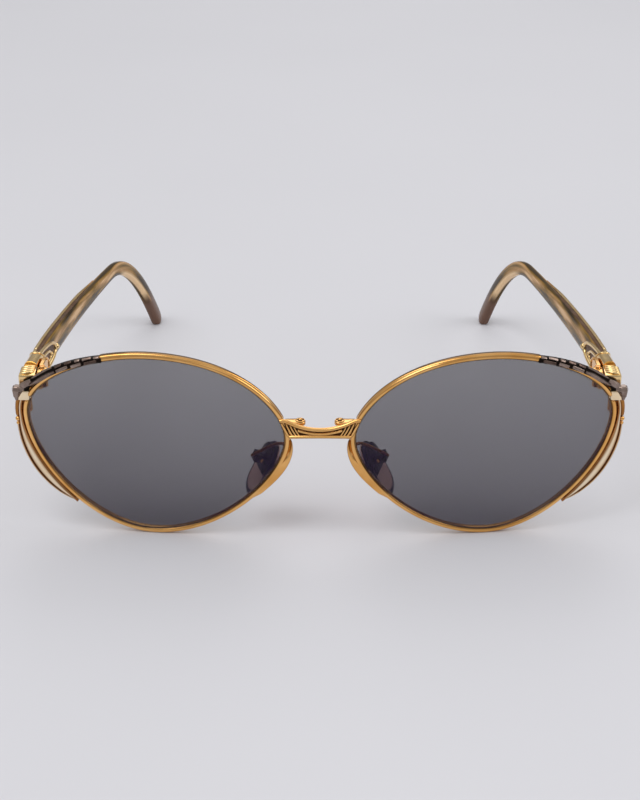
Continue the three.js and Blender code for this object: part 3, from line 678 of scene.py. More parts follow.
class Nodes:
    """Short calls that add and join the nodes of one tree."""

    def __init__(self, tree: bpy.types.NodeTree) -> None:
        """Keep the tree."""
        self.tree = tree

    def add(self, kind: str, **values: object) -> bpy.types.Node:
        """Add a node.

        Args:
            kind: its type name.
            values: its properties, or what feeds its inputs, by name with _ for a space.

        Returns:
            The node.
        """
        node = self.tree.nodes.new(kind)
        for key, value in values.items():
            if hasattr(node, key):
                setattr(node, key, value)
            else:
                self.join(value, node.inputs[key.replace("_", " ")])
        return node

    def join(self, source: Socket | float | Triple, target: Socket) -> None:
        """Join an output to an input, or set the input to a value.

        Args:
            source: the output or the value.
            target: the input.
        """
        if isinstance(source, Socket):
            self.tree.links.new(source, target)
        else:
            target.default_value = (*source, 1.0) if target.type == "RGBA" else source

    def axis(self, place: Socket, name: str) -> Socket:
        """One coordinate of a place."""
        return self.add("ShaderNodeSeparateXYZ", Vector=place).outputs[name]

    def spread(self, value: Socket, start: float, end: float, low: float = 0.0, high: float = 1.0) -> Socket:
        """Result that goes from low to high as a value goes from start to end, and no further."""
        limits = {"From_Min": start, "From_Max": end, "To_Min": low, "To_Max": high}
        return self.add("ShaderNodeMapRange", Value=value, **limits).outputs["Result"]

    def sums(self, operation: str, *values: Socket | float) -> Socket:
        """Work out a sum.

        Args:
            operation: Blender's name of the sum.
            values: what it is worked out from.

        Returns:
            The result.
        """
        node = self.add("ShaderNodeMath", operation=operation)
        for value, target in zip(values, node.inputs):
            self.join(value, target)
        return node.outputs["Value"]

    def mixed(self, mask: Socket | float, under: Socket | Colour, over: Socket | Colour) -> Socket:
        """Lay one colour over another.

        Args:
            mask: how much of the upper colour shows.
            under: the lower colour.
            over: the upper colour.

        Returns:
            The mixed colour.
        """
        node = self.add("ShaderNodeMix", data_type="RGBA", Factor=mask)
        self.join(under, node.inputs[6])
        self.join(over, node.inputs[7])
        return node.outputs[2]


def new_group(
    name: str,
    inputs: dict[str, str],
    outputs: dict[str, str],
) -> tuple[Nodes, bpy.types.Node, bpy.types.Node]:
    """Start a shader node group with its sockets.

    Args:
        name: the group's name.
        inputs: the socket type of each input.
        outputs: the socket type of each output.

    Returns:
        The group's nodes, with the one that it starts from and the one that it ends in.
    """
    tree = bpy.data.node_groups.new(name, "ShaderNodeTree")
    for in_out, sockets in (("INPUT", inputs), ("OUTPUT", outputs)):
        for label, kind in sockets.items():
            tree.interface.new_socket(label, in_out=in_out, socket_type=kind)
    nodes = Nodes(tree)
    return nodes, nodes.add("NodeGroupInput"), nodes.add("NodeGroupOutput")


def handling_marks() -> bpy.types.NodeTree:
    """Group of the marks that use leaves: soft haze and fine hairlines.

    Returns:
        The group, with inputs Patch and Lines and outputs Haze and Height.
    """
    nodes, start, end = new_group(
        "handling_marks",
        {"Patch": "NodeSocketFloat", "Lines": "NodeSocketFloat"},
        {"Haze": "NodeSocketFloat", "Height": "NodeSocketFloat"},
    )
    place = nodes.add("ShaderNodeTexCoord").outputs["Object"]
    haze = nodes.add("ShaderNodeTexNoise", Vector=place, Detail=4.0, Roughness=0.6)
    nodes.join(start.outputs["Patch"], haze.inputs["Scale"])
    turn = (0.4, 0.9, 0.3)
    stretch = nodes.add("ShaderNodeMapping", Vector=place, Rotation=turn, Scale=(0.12, 1.0, 1.6))
    lines = nodes.add("ShaderNodeTexNoise", Vector=stretch.outputs["Vector"], Detail=2.0, Roughness=0.5)
    nodes.join(start.outputs["Lines"], lines.inputs["Scale"])
    nodes.join(nodes.spread(haze.outputs["Fac"], *NOISE_SPAN), end.inputs["Haze"])
    nodes.join(lines.outputs["Fac"], end.inputs["Height"])
    return nodes.tree


def drifting_tone() -> bpy.types.NodeTree:
    """Group of a colour that drifts between two tones.

    Returns:
        The group, with inputs Light, Deep and Scale and output Color.
    """
    nodes, start, end = new_group(
        "drifting_tone",
        {"Light": "NodeSocketColor", "Deep": "NodeSocketColor", "Scale": "NodeSocketFloat"},
        {"Color": "NodeSocketColor"},
    )
    place = nodes.add("ShaderNodeTexCoord").outputs["Object"]
    drift = nodes.add("ShaderNodeTexNoise", Vector=place, Detail=3.0, Roughness=0.55)
    nodes.join(start.outputs["Scale"], drift.inputs["Scale"])
    mask = nodes.spread(drift.outputs["Fac"], *NOISE_SPAN)
    nodes.join(nodes.mixed(mask, start.outputs["Deep"], start.outputs["Light"]), end.inputs["Color"])
    return nodes.tree


MARKS = handling_marks()
TONE = drifting_tone()


@dataclass(frozen=True)
class Finish:
    """A finish whose tone drifts a little, with handling marks on its gloss."""

    name: str
    light: Colour
    deep: Colour
    tone_scale: float = 120.0
    metallic: float = 0.0
    gloss: Span = (0.1, 0.25)
    patch: float = 400.0
    lines: float = 1500.0
    bump: float = 0.04
    bump_depth: float = 0.00002
    transmission: float = 0.0
    coat: float = 0.0
    ior: float = 1.5
    shine: float = 0.5

    @cache
    def material(self) -> Material:
        """Make the material, once, with its tone, gloss and bump.

        Returns:
            The material.
        """
        material = bpy.data.materials.new(self.name)
        material.use_nodes = True
        nodes = Nodes(material.node_tree)
        shader = material.node_tree.nodes["Principled BSDF"]
        for socket, value in (
            ("Metallic", self.metallic),
            ("Transmission Weight", self.transmission),
            ("Coat Weight", self.coat),
            ("IOR", self.ior),
            ("Specular IOR Level", self.shine),
        ):
            shader.inputs[socket].default_value = value
        tone = nodes.add("ShaderNodeGroup", node_tree=TONE, Light=self.light, Deep=self.deep)
        nodes.join(self.tone_scale, tone.inputs["Scale"])
        nodes.join(tone.outputs["Color"], shader.inputs["Base Color"])
        marks = nodes.add("ShaderNodeGroup", node_tree=MARKS, Patch=self.patch, Lines=self.lines)
        roughness = nodes.spread(marks.outputs["Haze"], 0.0, 1.0, *self.gloss)
        nodes.join(roughness, shader.inputs["Roughness"])
        height = marks.outputs["Height"]
        bump = nodes.add("ShaderNodeBump", Height=height, Strength=self.bump, Distance=self.bump_depth)
        nodes.join(bump.outputs["Normal"], shader.inputs["Normal"])
        self.refine(nodes, shader)
        return material

    def refine(self, nodes: Nodes, shader: bpy.types.Node) -> None:
        """Add what only one kind of finish has."""


@dataclass(frozen=True)
class PaintedShadeFinish(Finish):
    """Finish with painted shade: its colour darkens down the flanks that turn away from its crests."""

    # Colour, range and strength of the painted shade down the flanks.
    edge: Colour = (0.07, 0.028, 0.006)
    turn: Span = (0.06, 0.55)
    strength: float = 0.85

    def refine(self, nodes: Nodes, shader: bpy.types.Node) -> None:
        """Paint shade into the base colour down the flanks.

        Args:
            nodes: the material's nodes.
            shader: its shader.
        """
        base = shader.inputs["Base Color"]
        # Painted shade: mix the dark edge colour in where the surface turns from its crests.
        painted_shade_amount = nodes.add("ShaderNodeAttribute", attribute_name=PAINTED_SHADE_MARK).outputs["Fac"]
        mask = nodes.spread(painted_shade_amount, *self.turn, high=self.strength)
        nodes.join(nodes.mixed(mask, base.links[0].from_socket, self.edge), base)


@dataclass(frozen=True)
class TintedLens(Finish):
    """Grey-violet lens, a little denser towards its lower edge."""

    span: Span = (0.004, 0.044)
    tint: Span = (0.605, 0.48)

    def refine(self, nodes: Nodes, shader: bpy.types.Node) -> None:
        """Let the tint fade from the lower edge to the upper one."""
        rise = nodes.axis(nodes.add("ShaderNodeTexCoord").outputs["Object"], "Z")
        nodes.join(nodes.spread(rise, *self.span, *self.tint), shader.inputs["Alpha"])


@dataclass(frozen=True)
class Patch:
    """A patch on the sleeve: its start and end along the temple, half its width, and its tone."""

    start: float
    end: float
    half: float
    tone: Colour


@dataclass(frozen=True)
class StreakedSleeve(PaintedShadeFinish):
    """Champagne plastic, streaked along the temple, with a painted highlight and a dark patch behind the
    ear.
    """

    tones: tuple[tuple[float, Colour], ...] = (
        (0.45, (0.020, 0.012, 0.004)),
        (0.52, (0.095, 0.057, 0.016)),
        (0.575, (0.29, 0.165, 0.034)),
        (0.64, (0.52, 0.285, 0.11)),
        (0.71, (0.86, 0.56, 0.29)),
    )
    half_height: float = 0.0033
    # How much lighter the streaks get towards the lower edge: a painted highlight.
    lower_painted_highlight: float = 0.09
    tip_span: Span = (0.078, 0.092)
    tip_dark: float = 0.05
    # The first patch is a painted highlight along the corner; the second is a dark patch.
    patches: tuple[Patch, ...] = (
        Patch(0.087, 0.115, 0.0009, (1.0, 0.70, 0.41)),
        Patch(0.112, 0.150, 0.0024, (0.19, 0.11, 0.08)),
    )
    patch_end: float = 0.005
    patch_edge: float = 0.3
    patch_across: Triple = (0.0, -1.0, 0.5)
    patch_shift: float = 0.0002
    streak_share: float = 0.92
    streak_scale: float = 480.0
    streak_detail: float = 4.0
    streak_sway: float = 0.3
    stretch: Triple = (0.07, 1.0, 0.8)

    def streaks(self, nodes: Nodes, place: Socket) -> Socket:
        """Colour of long streaks.

        Args:
            nodes: the material's nodes.
            place: how far along, out and up the temple a point is.

        Returns:
            The colour.
        """
        stretched = nodes.add("ShaderNodeMapping", Vector=place, Scale=self.stretch).outputs["Vector"]
        noise = nodes.add("ShaderNodeTexNoise", Vector=stretched, Scale=self.streak_scale)
        nodes.join(self.streak_detail, noise.inputs["Detail"])
        nodes.join(self.streak_sway, noise.inputs["Distortion"])
        height = nodes.axis(place, "Z")
        # Painted highlight: the streaks grow lighter towards the lower edge.
        lower = nodes.spread(height, self.half_height, -self.half_height, high=self.lower_painted_highlight)
        tip = nodes.spread(nodes.axis(place, "X"), *self.tip_span, high=-self.tip_dark)
        level = nodes.sums("ADD", nodes.sums("ADD", noise.outputs["Fac"], lower), tip)
        ramp = nodes.add("ShaderNodeValToRGB", Fac=level)
        for number, (position, tone) in enumerate(self.tones):
            stops = ramp.color_ramp.elements
            stop = stops[number] if number < 2 else stops.new(position)
            stop.position = position
            stop.color = (*tone, 1.0)
        return ramp.outputs["Color"]

    def patch_mask(self, nodes: Nodes, place: Socket, patch: Patch) -> Socket:
        """Mask of a patch along the corner between the inner and the lower face.

        Args:
            nodes: the material's nodes.
            place: how far along, out and up the temple a point is.
            patch: the patch.

        Returns:
            The mask.
        """
        along = nodes.axis(place, "X")
        across = nodes.add("ShaderNodeVectorMath", operation="DOT_PRODUCT")
        nodes.join(place, across.inputs[0])
        nodes.join(self.patch_across, across.inputs[1])
        aside = nodes.sums("ABSOLUTE", nodes.sums("ADD", across.outputs["Value"], self.patch_shift))
        starts = nodes.spread(along, patch.start, patch.start + self.patch_end)
        ends = nodes.spread(along, patch.end, patch.end - self.patch_end)
        edge = self.patch_edge
        within = nodes.spread(aside, (1 + edge) * patch.half, (1 - edge) * patch.half)
        return nodes.sums("MULTIPLY", nodes.sums("MULTIPLY", starts, ends), within)

    def refine(self, nodes: Nodes, shader: bpy.types.Node) -> None:
        """Lay the streaks and the patches over the tone, the first patch a painted highlight, with painted
        shade on the flanks between.

        Args:
            nodes: the material's nodes.
            shader: its shader.
        """
        base = shader.inputs["Base Color"]
        place = nodes.add("ShaderNodeAttribute", attribute_name=ALONG).outputs["Vector"]
        streaks = self.streaks(nodes, place)
        nodes.join(nodes.mixed(self.streak_share, base.links[0].from_socket, streaks), base)
        super().refine(nodes, shader)
        for patch in self.patches:
            mask = self.patch_mask(nodes, place, patch)
            nodes.join(nodes.mixed(mask, base.links[0].from_socket, patch.tone), base)


class Palette(Enum):
    """All finishes of the object and its floor, with lighter and darker copies of the gold and the enamel as
    painted light and shade.
    """

    # Gold with painted shade down its flanks.
    GOLD = PaintedShadeFinish(
        "polished_gold", (0.98, 0.57, 0.21), (0.75, 0.37, 0.095),
        tone_scale=110.0, metallic=1.0, gloss=(0.07, 0.17),
    )
    # Lighter copy of the gold: a painted highlight on the pieces that wear it.
    HIGHLIGHT_GOLD = PaintedShadeFinish(
        "gold_painted_highlight", (1.0, 0.88, 0.68), (0.93, 0.72, 0.46),
        tone_scale=160.0, metallic=1.0, gloss=(0.06, 0.15),
        edge=(0.34, 0.155, 0.04), turn=(0.008, 0.11),
    )
    # Lit copy of the gold, lighter and yellower: painted light on the pieces that wear it.
    LIT_GOLD = Finish(
        "gold_painted_light", (0.96, 0.71, 0.36), (0.76, 0.50, 0.20),
        tone_scale=160.0, metallic=1.0, gloss=(0.06, 0.15),
    )
    # Darker, duller copy of the gold: painted shade on the pieces that wear it.
    SHADED_GOLD = Finish(
        "gold_painted_shade", (0.50, 0.23, 0.06), (0.32, 0.13, 0.035),
        tone_scale=200.0, metallic=1.0, gloss=(0.22, 0.38),
    )
    # Dark gold: painted shade in the bridge's recess and the ferrule's arches, and the colour of the brown
    # band along the temple.
    SHADE_AND_ENAMEL = Finish(
        "dark_enamel_and_painted_shade", (0.14, 0.06, 0.018), (0.065, 0.027, 0.009),
        tone_scale=300.0, metallic=0.7, gloss=(0.35, 0.55),
    )
    # Lighter copy of the tiles' enamel: a painted highlight on the tiles, blades and cap that wear it.
    HIGHLIGHT_TILE = Finish(
        "enamel_painted_highlight", (0.36, 0.275, 0.235), (0.19, 0.13, 0.105),
        tone_scale=500.0, metallic=0.75, gloss=(0.14, 0.28), coat=0.1,
    )
    BROWN_TILE = Finish(
        "taupe_enamel", (0.155, 0.10, 0.078), (0.06, 0.036, 0.027),
        tone_scale=350.0, metallic=0.75, gloss=(0.16, 0.3), coat=0.1,
    )
    BED = Finish(
        "black_brown_enamel", (0.010, 0.005, 0.003), (0.004, 0.002, 0.001),
        tone_scale=300.0, gloss=(0.35, 0.6), shine=0.08,
    )
    LENS = TintedLens(
        "grey_violet_tint", (0.017, 0.008, 0.036), (0.015, 0.006, 0.031),
        tone_scale=40.0, gloss=(0.015, 0.05), bump=0.001, shine=0.25,
    )
    # The sleeve's edge colour is painted shade down its top and bottom.
    SLEEVE = StreakedSleeve(
        "champagne_sleeve", (0.42, 0.25, 0.075), (0.21, 0.11, 0.026),
        tone_scale=90.0, gloss=(0.05, 0.14), transmission=0.1, ior=1.4, shine=0.08,
        edge=(0.05, 0.027, 0.007), turn=(0.3, 0.9), strength=0.6,
    )
    CORE = Finish(
        "drawn_core", (0.56, 0.42, 0.26), (0.30, 0.20, 0.11),
        tone_scale=150.0, metallic=1.0, gloss=(0.2, 0.35),
    )
    # Its edge colour paints a dark ring of shade round the outline of the pad's back.
    PAD = PaintedShadeFinish(
        "mauve_pad_plastic", (1.0, 0.66, 0.57), (0.85, 0.54, 0.47),
        tone_scale=150.0, gloss=(0.12, 0.24), transmission=0.1, ior=1.45,
        edge=(0.015, 0.008, 0.01), turn=(0.72, 0.79), strength=1.0,
    )
    PLATE = Finish(
        "dark_pad_plate", (0.050, 0.034, 0.010), (0.030, 0.020, 0.006),
        tone_scale=400.0, metallic=0.4, gloss=(0.12, 0.25),
    )
    FLOOR = Finish(
        "pale_floor", (0.652, 0.648, 0.686), (0.622, 0.618, 0.656),
        tone_scale=3.0, gloss=(0.6, 0.75), patch=4.0, lines=40.0,
    )


def dress(piece: Piece, finish: Palette) -> None:
    """Give a piece its finish alone."""
    piece.data.materials.clear()
    piece.data.materials.append(finish.value.material())


def put_on(piece: Piece, body: str, finish: Palette, nodes: Sequence[str] = ()) -> None:
    """Dress a finished piece and say what it rides on and stands for.

    Args:
        piece: the piece.
        body: the body that carries it.
        finish: its finish.
        nodes: the solids that it stands for.
    """
    dress(piece, finish)
    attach(piece, body)
    if nodes:
        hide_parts(*nodes)
    LOG.info("%s on %s: %d faces", piece.name, body, len(piece.data.polygons))


def put_on_pair(
    piece: Piece,
    finish: Palette,
    *nodes: str,
    carrier: Carrier = Carrier.FRONT,
    slot: Slot = Slot.GOLD,
) -> None:
    """Put a left piece and its copy on the right on their bodies.

    Args:
        piece: the left piece, its name without a side.
        finish: its finish.
        nodes: the solids that it stands for, without a side.
        carrier: what carries it.
        slot: the record's slot of its finish; not used.
    """
    label = piece.name
    other = mirror_copy(piece, f"{Side.RIGHT.value}_{label}")
    piece.name = f"{Side.LEFT.value}_{label}"
    piece.data.name = piece.name
    for one, side in ((piece, Side.LEFT), (other, Side.RIGHT)):
        names = [f"{side.value}_{node}" for node in nodes]
        put_on(one, carrier.body(side), finish, names)


@dataclass
class RimAndLens:
    """Gold rim of one eye with the tinted lens in it."""

    eye: Eye
    split: float = 10.35
    split_gap: float = 0.3
    lip: float = 0.3
    outside: float = 1.06
    front: float = -0.12
    back: float = 1.92
    stations: int = 96
    lens_thickness: float = 1.8
    lens_inset: float = 0.5
    lens_middle: float = 0.9
    bevel: float = 0.45
    lens_corners: int = 144
    lock_middle: Triple = (68.7, -53.3, 31.76)
    lock_half: Pairs = ((0.0, 0.75), (0.12, 0.9), (2.35, 0.9), (2.5, 0.75))
    foot_size: Triple = (1.3, 1.5, 4.6)
    foot_place: Triple = (0.1, -0.8, 0.0)
    foot_edge: float = 0.2

    def rim(self) -> Piece:
        """Rounded rim, open at the split by the hinge.

        Returns:
            The rim.
        """
        half = self.split_gap / 2
        top = self.eye.top_share()
        start = self.eye.share_rise(self.split + half, 0.0, top)
        end = 1.0 + self.eye.share_rise(self.split - half, 0.0, top)
        section = oval(-self.lip, self.outside, self.front, self.back, 12)
        rings = [self.eye.ring(self.eye.edge(s), section) for s in shares(self.stations, start, end)]
        # The outward way is a crest too, so the rim's inner and outer walls get less painted shade.
        return self.eye.swept("rim_wire", rings, self.eye.outwards)

    def lens_ring(self, share: float, inset: float, depth: float) -> Ring:
        """Ring of the lens, a share of its outline in from the edge by an inset.

        Args:
            share: share of the outline's size.
            inset: distance in from the edge.
            depth: distance behind the lens's front.

        Returns:
            The ring.
        """
        ring = []
        for i in range(self.lens_corners):
            e = self.eye.edge(i / self.lens_corners)
            across = (e.across - e.out_across * inset) * share
            rise = (e.rise - e.out_rise * inset) * share
            ring.append(self.eye.at(across, rise, depth))
        return ring

    def lens(self) -> Piece:
        """Domed lens with a bevel all round its edge.

        Returns:
            The lens.
        """
        inner = [0.04, 0.2, 0.4, 0.6, 0.8, 0.93, 1.0]
        rings = [self.lens_ring(s, self.lens_inset, 0.0) for s in inner]
        rings.append(self.lens_ring(1.0, self.lens_inset, self.lens_middle - self.bevel))
        rings.append(self.lens_ring(1.0, 0.0, self.lens_middle))
        rings.append(self.lens_ring(1.0, self.lens_inset, self.lens_middle + self.bevel))
        rings += [self.lens_ring(s, self.lens_inset, self.lens_thickness) for s in reversed(inner)]
        return sweep("lens_blank", rings, degrees=25.0)

    def lock(self) -> Piece:
        """Split barrel behind the rim, on a foot against it.

        Returns:
            The lock.
        """
        place = Matrix.Translation(self.lock_middle)
        profile = [(radius, -height) for height, radius in reversed(self.lock_half)]
        profile += [(radius, height) for height, radius in self.lock_half[1:]]
        barrel = turned("lock_barrel", place, profile)
        foot_place = place @ Matrix.Translation(self.foot_place)
        foot = block("lock_foot", self.foot_size, self.foot_edge, foot_place)
        return join("rim_lock_barrel", [barrel, foot])

    def build(self) -> None:
        """Model the rim, its lock and the lens and put them on both sides."""
        put_on_pair(self.rim(), Palette.GOLD, "rim")
        put_on_pair(self.lock(), Palette.GOLD, "rim_lock")
        put_on_pair(self.lens(), Palette.LENS, "lens", slot=Slot.LENS)


@dataclass
class TrimPoint:
    """A point of the dark trim's run, and how far it has left the rim."""

    e: EdgePoint
    off: float
    fill: float


@dataclass(frozen=True)
class TileRow:
    """A row of tiles: where each starts and ends, which are pale with a painted highlight, and how the row
    sits.
    """

    spans: Pairs
    pale: tuple[bool, ...]
    out: float
    high: float
    depth: float
    lean: float


@dataclass
class BrowLine:
    """Bright brow bar, and the dark tiled trim that runs on from it to the end cap."""

    eye: Eye
    bar_low: float = 0.45
    bar_front: float = -0.3
    bar_back: float = 2.0
    bar_depth: float = 1.0
    bar_tuck: float = 0.6
    bar_goes_behind: Span = (0.35, 0.85)
    bar_height: float = 0.65
    bar_raise: float = 0.45
    bar_nose_raise: float = 0.1
    bar_nose_end: float = 7.0
    rim_outside: float = 1.05
    rim_back: float = 1.9
    trim_start: float = 11.5
    trim_leaves: float = 0.0729
    trim_lip: float = 0.25
    trim_lift: float = 0.65
    trim_height: float = 1.45
    trim_end_height: float = 1.8
    trim_plate: float = 0.5
    trim_depth: float = 2.1
    trim_front: float = -0.4
    trim_sunk: float = 0.2
    trim_fill: float = 0.9
    trim_end_across: float = 31.13
    trim_end_rise: float = 13.05
    cap_middle: Triple = (32.4, 11.65, -0.4)
    cap_width: float = 2.3
    cap_height: float = 3.7
    cap_depth: float = 2.8
    cap_facets: int = 6
    cap_turn: float = 0.2
    cap_hook: float = 0.9
    cap_hook_span: Span = (-0.2, 0.7)
    cap_edge: float = 0.08
    cap_low: Pairs = ((-1.0, 0.3), (-0.96, 0.42), (-0.5, 0.66), (-0.42, 0.8))
    cap_high: Pairs = ((0.45, 1.0), (0.6, 0.9), (0.9, 0.72), (1.0, 0.5))
    rows: tuple[TileRow, ...] = (
        TileRow(
            spans=((1.0, 4.2), (4.8, 7.5), (8.2, 11.4)),
            pale=(False, True, True),
            out=0.27, high=0.46, depth=0.06, lean=4.0,
        ),
        TileRow(
            spans=((0.3, 1.7), (2.1, 4.4), (4.9, 6.2), (6.9, 8.8), (9.4, 11.3)),
            pale=(True, True, True, False, False),
            out=0.86, high=0.42, depth=0.3, lean=48.0,
        ),
    )
    tile_thickness: float = 0.4
    tile_edge: float = 0.12
    tile_sway: float = 6.0
    blade_start: float = 11.7
    blade_raised: float = 0.16
    blade_tip: float = 0.2
    blade_section: Pairs = ((-1.0, 0.32), (-0.3, 0.0), (0.5, 0.05), (1.0, 0.4), (0.0, 0.75))

    def start_share(self) -> float:
        """Share at which the trim starts."""
        return self.eye.share_across(self.trim_start, *self.eye.corner_span)

    def run_length(self) -> tuple[float, float]:
        """Lengths of the trim on the rim, and from where it leaves to the cap."""
        on_rim = (self.start_share() - self.trim_leaves) * self.eye.lengths[-1]
        return on_rim, self.way_to_cap().length

    def way_to_cap(self) -> Vector:
        """From where the trim leaves the rim to the cap, across and up.

        Returns:
            The way.
        """
        last = self.eye.edge(self.trim_leaves)
        middle = self.trim_lift - self.trim_lip + self.trim_end_height / 2
        across = self.trim_end_across - last.across - last.out_across * middle
        rise = self.trim_end_rise - last.rise - last.out_rise * middle
        return Vector((across, rise))

    def trim_at(self, run: float) -> TrimPoint:
        """Point of the trim a distance from its start.

        Args:
            run: the distance.

        Returns:
            The point.
        """
        on_rim, to_cap = self.run_length()
        if run <= on_rim:
            share = self.start_share() - run / self.eye.lengths[-1]
            return TrimPoint(self.eye.edge(share), run / on_rim, 0.0)
        last = self.eye.edge(self.trim_leaves)
        fill = (run - on_rim) / to_cap
        step = self.way_to_cap() * fill
        moved = EdgePoint(last.across + step.x, last.rise + step.y, last.out_across, last.out_rise)
        return TrimPoint(moved, 1.0, fill)

    def low(self, point: TrimPoint) -> float:
        """Lower limit of the trim, outwards from the lens's edge."""
        return self.trim_lift * point.off - self.trim_lip

    def tall(self, point: TrimPoint) -> float:
        """Height of the trim."""
        return blend(self.trim_height, self.trim_end_height, point.off)

    def bar(self) -> Piece:
        """Bright bar round the rim's top, slimmer and behind it towards the nose.

        Returns:
            The bar.
        """
        eye = self.eye
        start = eye.share_across(self.trim_start + self.bar_tuck, *eye.corner_span)
        end = eye.share_rise(self.bar_nose_end, eye.top_share(), eye.nose_span[0])
        slim = self.rim_outside + self.bar_nose_raise - self.bar_height
        rings = []
        for t in shares(56):
            behind = ease(*self.bar_goes_behind, t)
            low = blend(self.bar_low, slim, behind)
            high = self.rim_outside + blend(self.bar_raise, self.bar_nose_raise, t)
            front = blend(self.bar_front, self.rim_back - self.bar_depth, behind)
            section = oval(low, high, front, self.bar_back, 10, 0.9)
            rings.append(eye.ring(eye.edge(blend(start, end, t)), section))
        return eye.swept("brow_bar_polished", rings)

    def bed(self) -> Piece:
        """Dark bed of the trim, an angle over the rim and then a full bar.

        Returns:
            The bed.
        """
        rings = []
        sunk = self.trim_sunk
        for run in shares(40, 0.0, sum(self.run_length())):
            point = self.trim_at(run)
            low = self.low(point)
            high = low + self.tall(point) - sunk / 2
            inner = blend(high - self.trim_plate, low, self.trim_fill * point.fill)
            front = self.trim_front + sunk
            back = self.trim_front + self.trim_depth
            plate = self.trim_front + self.trim_plate
            section = [(low, front), (high - sunk, front), (high, front + sunk), (high, back)]
            section += [(inner, back), (inner, plate), (low, plate)]
            rings.append(self.eye.ring(point.e, section))
        return sweep("trim_bed", rings, degrees=30.0)

    def tile(self, pattern: Piece, row: TileRow, number: int) -> Piece:
        """Copy of the tile in its place in a row.

        Args:
            pattern: the tile that is copied.
            row: the row.
            number: which tile of the row it is.

        Returns:
            The tile.
        """
        start, end = row.spans[number]
        point = self.trim_at((start + end) / 2)
        tall = self.tall(point)
        lean = radians(row.lean + self.tile_sway * (-1) ** number)
        out = self.low(point) + row.out * tall
        place = self.eye.frame_at(point.e, out, self.trim_front + row.depth)
        size = Matrix.Diagonal((end - start, 1.0, row.high * tall, 1.0))
        return copy_to(pattern, f"tile_{number}", place @ Matrix.Rotation(lean, 4, "X") @ size)

    def tiles(self, name: str, pale: bool) -> Piece:
        """The raised tiles of one tone from both staggered rows, with their long facets; the pale tone is a
        painted highlight.

        Args:
            name: the piece's name.
            pale: whether the pale tiles, with the painted highlight, are made, or the brown ones.

        Returns:
            The tiles.
        """
        size = (1.0, self.tile_thickness, 1.0)
        pattern = block("tile_pattern", size, self.tile_edge, Matrix.Identity(4))
        made = []
        for row in self.rows:
            for number, is_pale in enumerate(row.pale):
                if is_pale == pale:
                    made.append(self.tile(pattern, row, number))
        remove(pattern)
        if pale:
            made += self.blades()
        piece = join(name, made)
        soften(piece)
        return piece

    def blades(self) -> list[Piece]:
        """Long facets that run on from the tiles to the end cap.

        Returns:
            The facets.
        """
        total = sum(self.run_length())
        made = []
        for name, start, end, out_share, depth, half, taper in (
            ("blade_low", self.blade_start, total - 2.2, 0.27, 0.0, 0.5, 0.95),
            ("blade_high", self.blade_start + 0.2, total - 3.6, 0.88, 0.35, 0.36, 0.95),
            ("blade_end", total - 3.2, total, 0.66, 0.0, 0.7, 0.7),
        ):
            rings = []
            for t in shares(16):
                point = self.trim_at(min(blend(start, end, t), total))
                out = self.low(point) + out_share * self.tall(point)
                swell = sin(pi * blend(0.1, taper, t)) ** 0.6
                width = half * blend(self.blade_tip, 1.0, swell)
                front = self.trim_front + depth - self.blade_raised
                section = [(out + side * width, front + deep) for side, deep in self.blade_section]
                rings.append(self.eye.ring(point.e, section))
            made.append(sweep(name, rings, degrees=25.0))
        return made

    def cap(self) -> Piece:
        """Dark barrel on the end of the trim, its ends stepped in.

        Returns:
            The barrel.
        """
        middle = self.eye.at(*self.cap_middle)
        rings = []
        for level, share in (*self.cap_low, *self.cap_high):
            ring = []
            for j in range(self.cap_facets):
                turn = 2 * pi * (j + self.cap_turn) / self.cap_facets
                across = self.cap_width / 2 * share * cos(turn)
                if across < 0:
                    across *= 1 + self.cap_hook * ease(*self.cap_hook_span, level)
                back = self.cap_depth / 2 * share * sin(turn)
                ring.append(middle + Vector((across, back, level * self.cap_height / 2)))
            rings.append(ring)
        piece = sweep("end_cap_barrel", rings, degrees=8.0)
        width = self.cap_edge * MM
        apply_modifier(piece, "BEVEL", width=width, segments=1, limit_method="ANGLE", angle_limit=0.2)
        soften(piece, 8.0)
        return piece

    def build(self) -> None:
        """Model the brow line and put it on both sides."""
        put_on_pair(self.bar(), Palette.GOLD, "brow_bar")
        put_on_pair(self.bed(), Palette.BED, "brow_trim", slot=Slot.ENAMEL)
        # The pale tiles, the blades and the end cap wear the enamel's lighter copy, a painted highlight.
        pale = self.tiles("trim_highlight_tiles", True)
        put_on_pair(pale, Palette.HIGHLIGHT_TILE, slot=Slot.ENAMEL)
        brown = self.tiles("trim_brown_tiles", False)
        put_on_pair(brown, Palette.BROWN_TILE, slot=Slot.ENAMEL)
        put_on_pair(self.cap(), Palette.HIGHLIGHT_TILE, "end_cap", slot=Slot.ENAMEL)


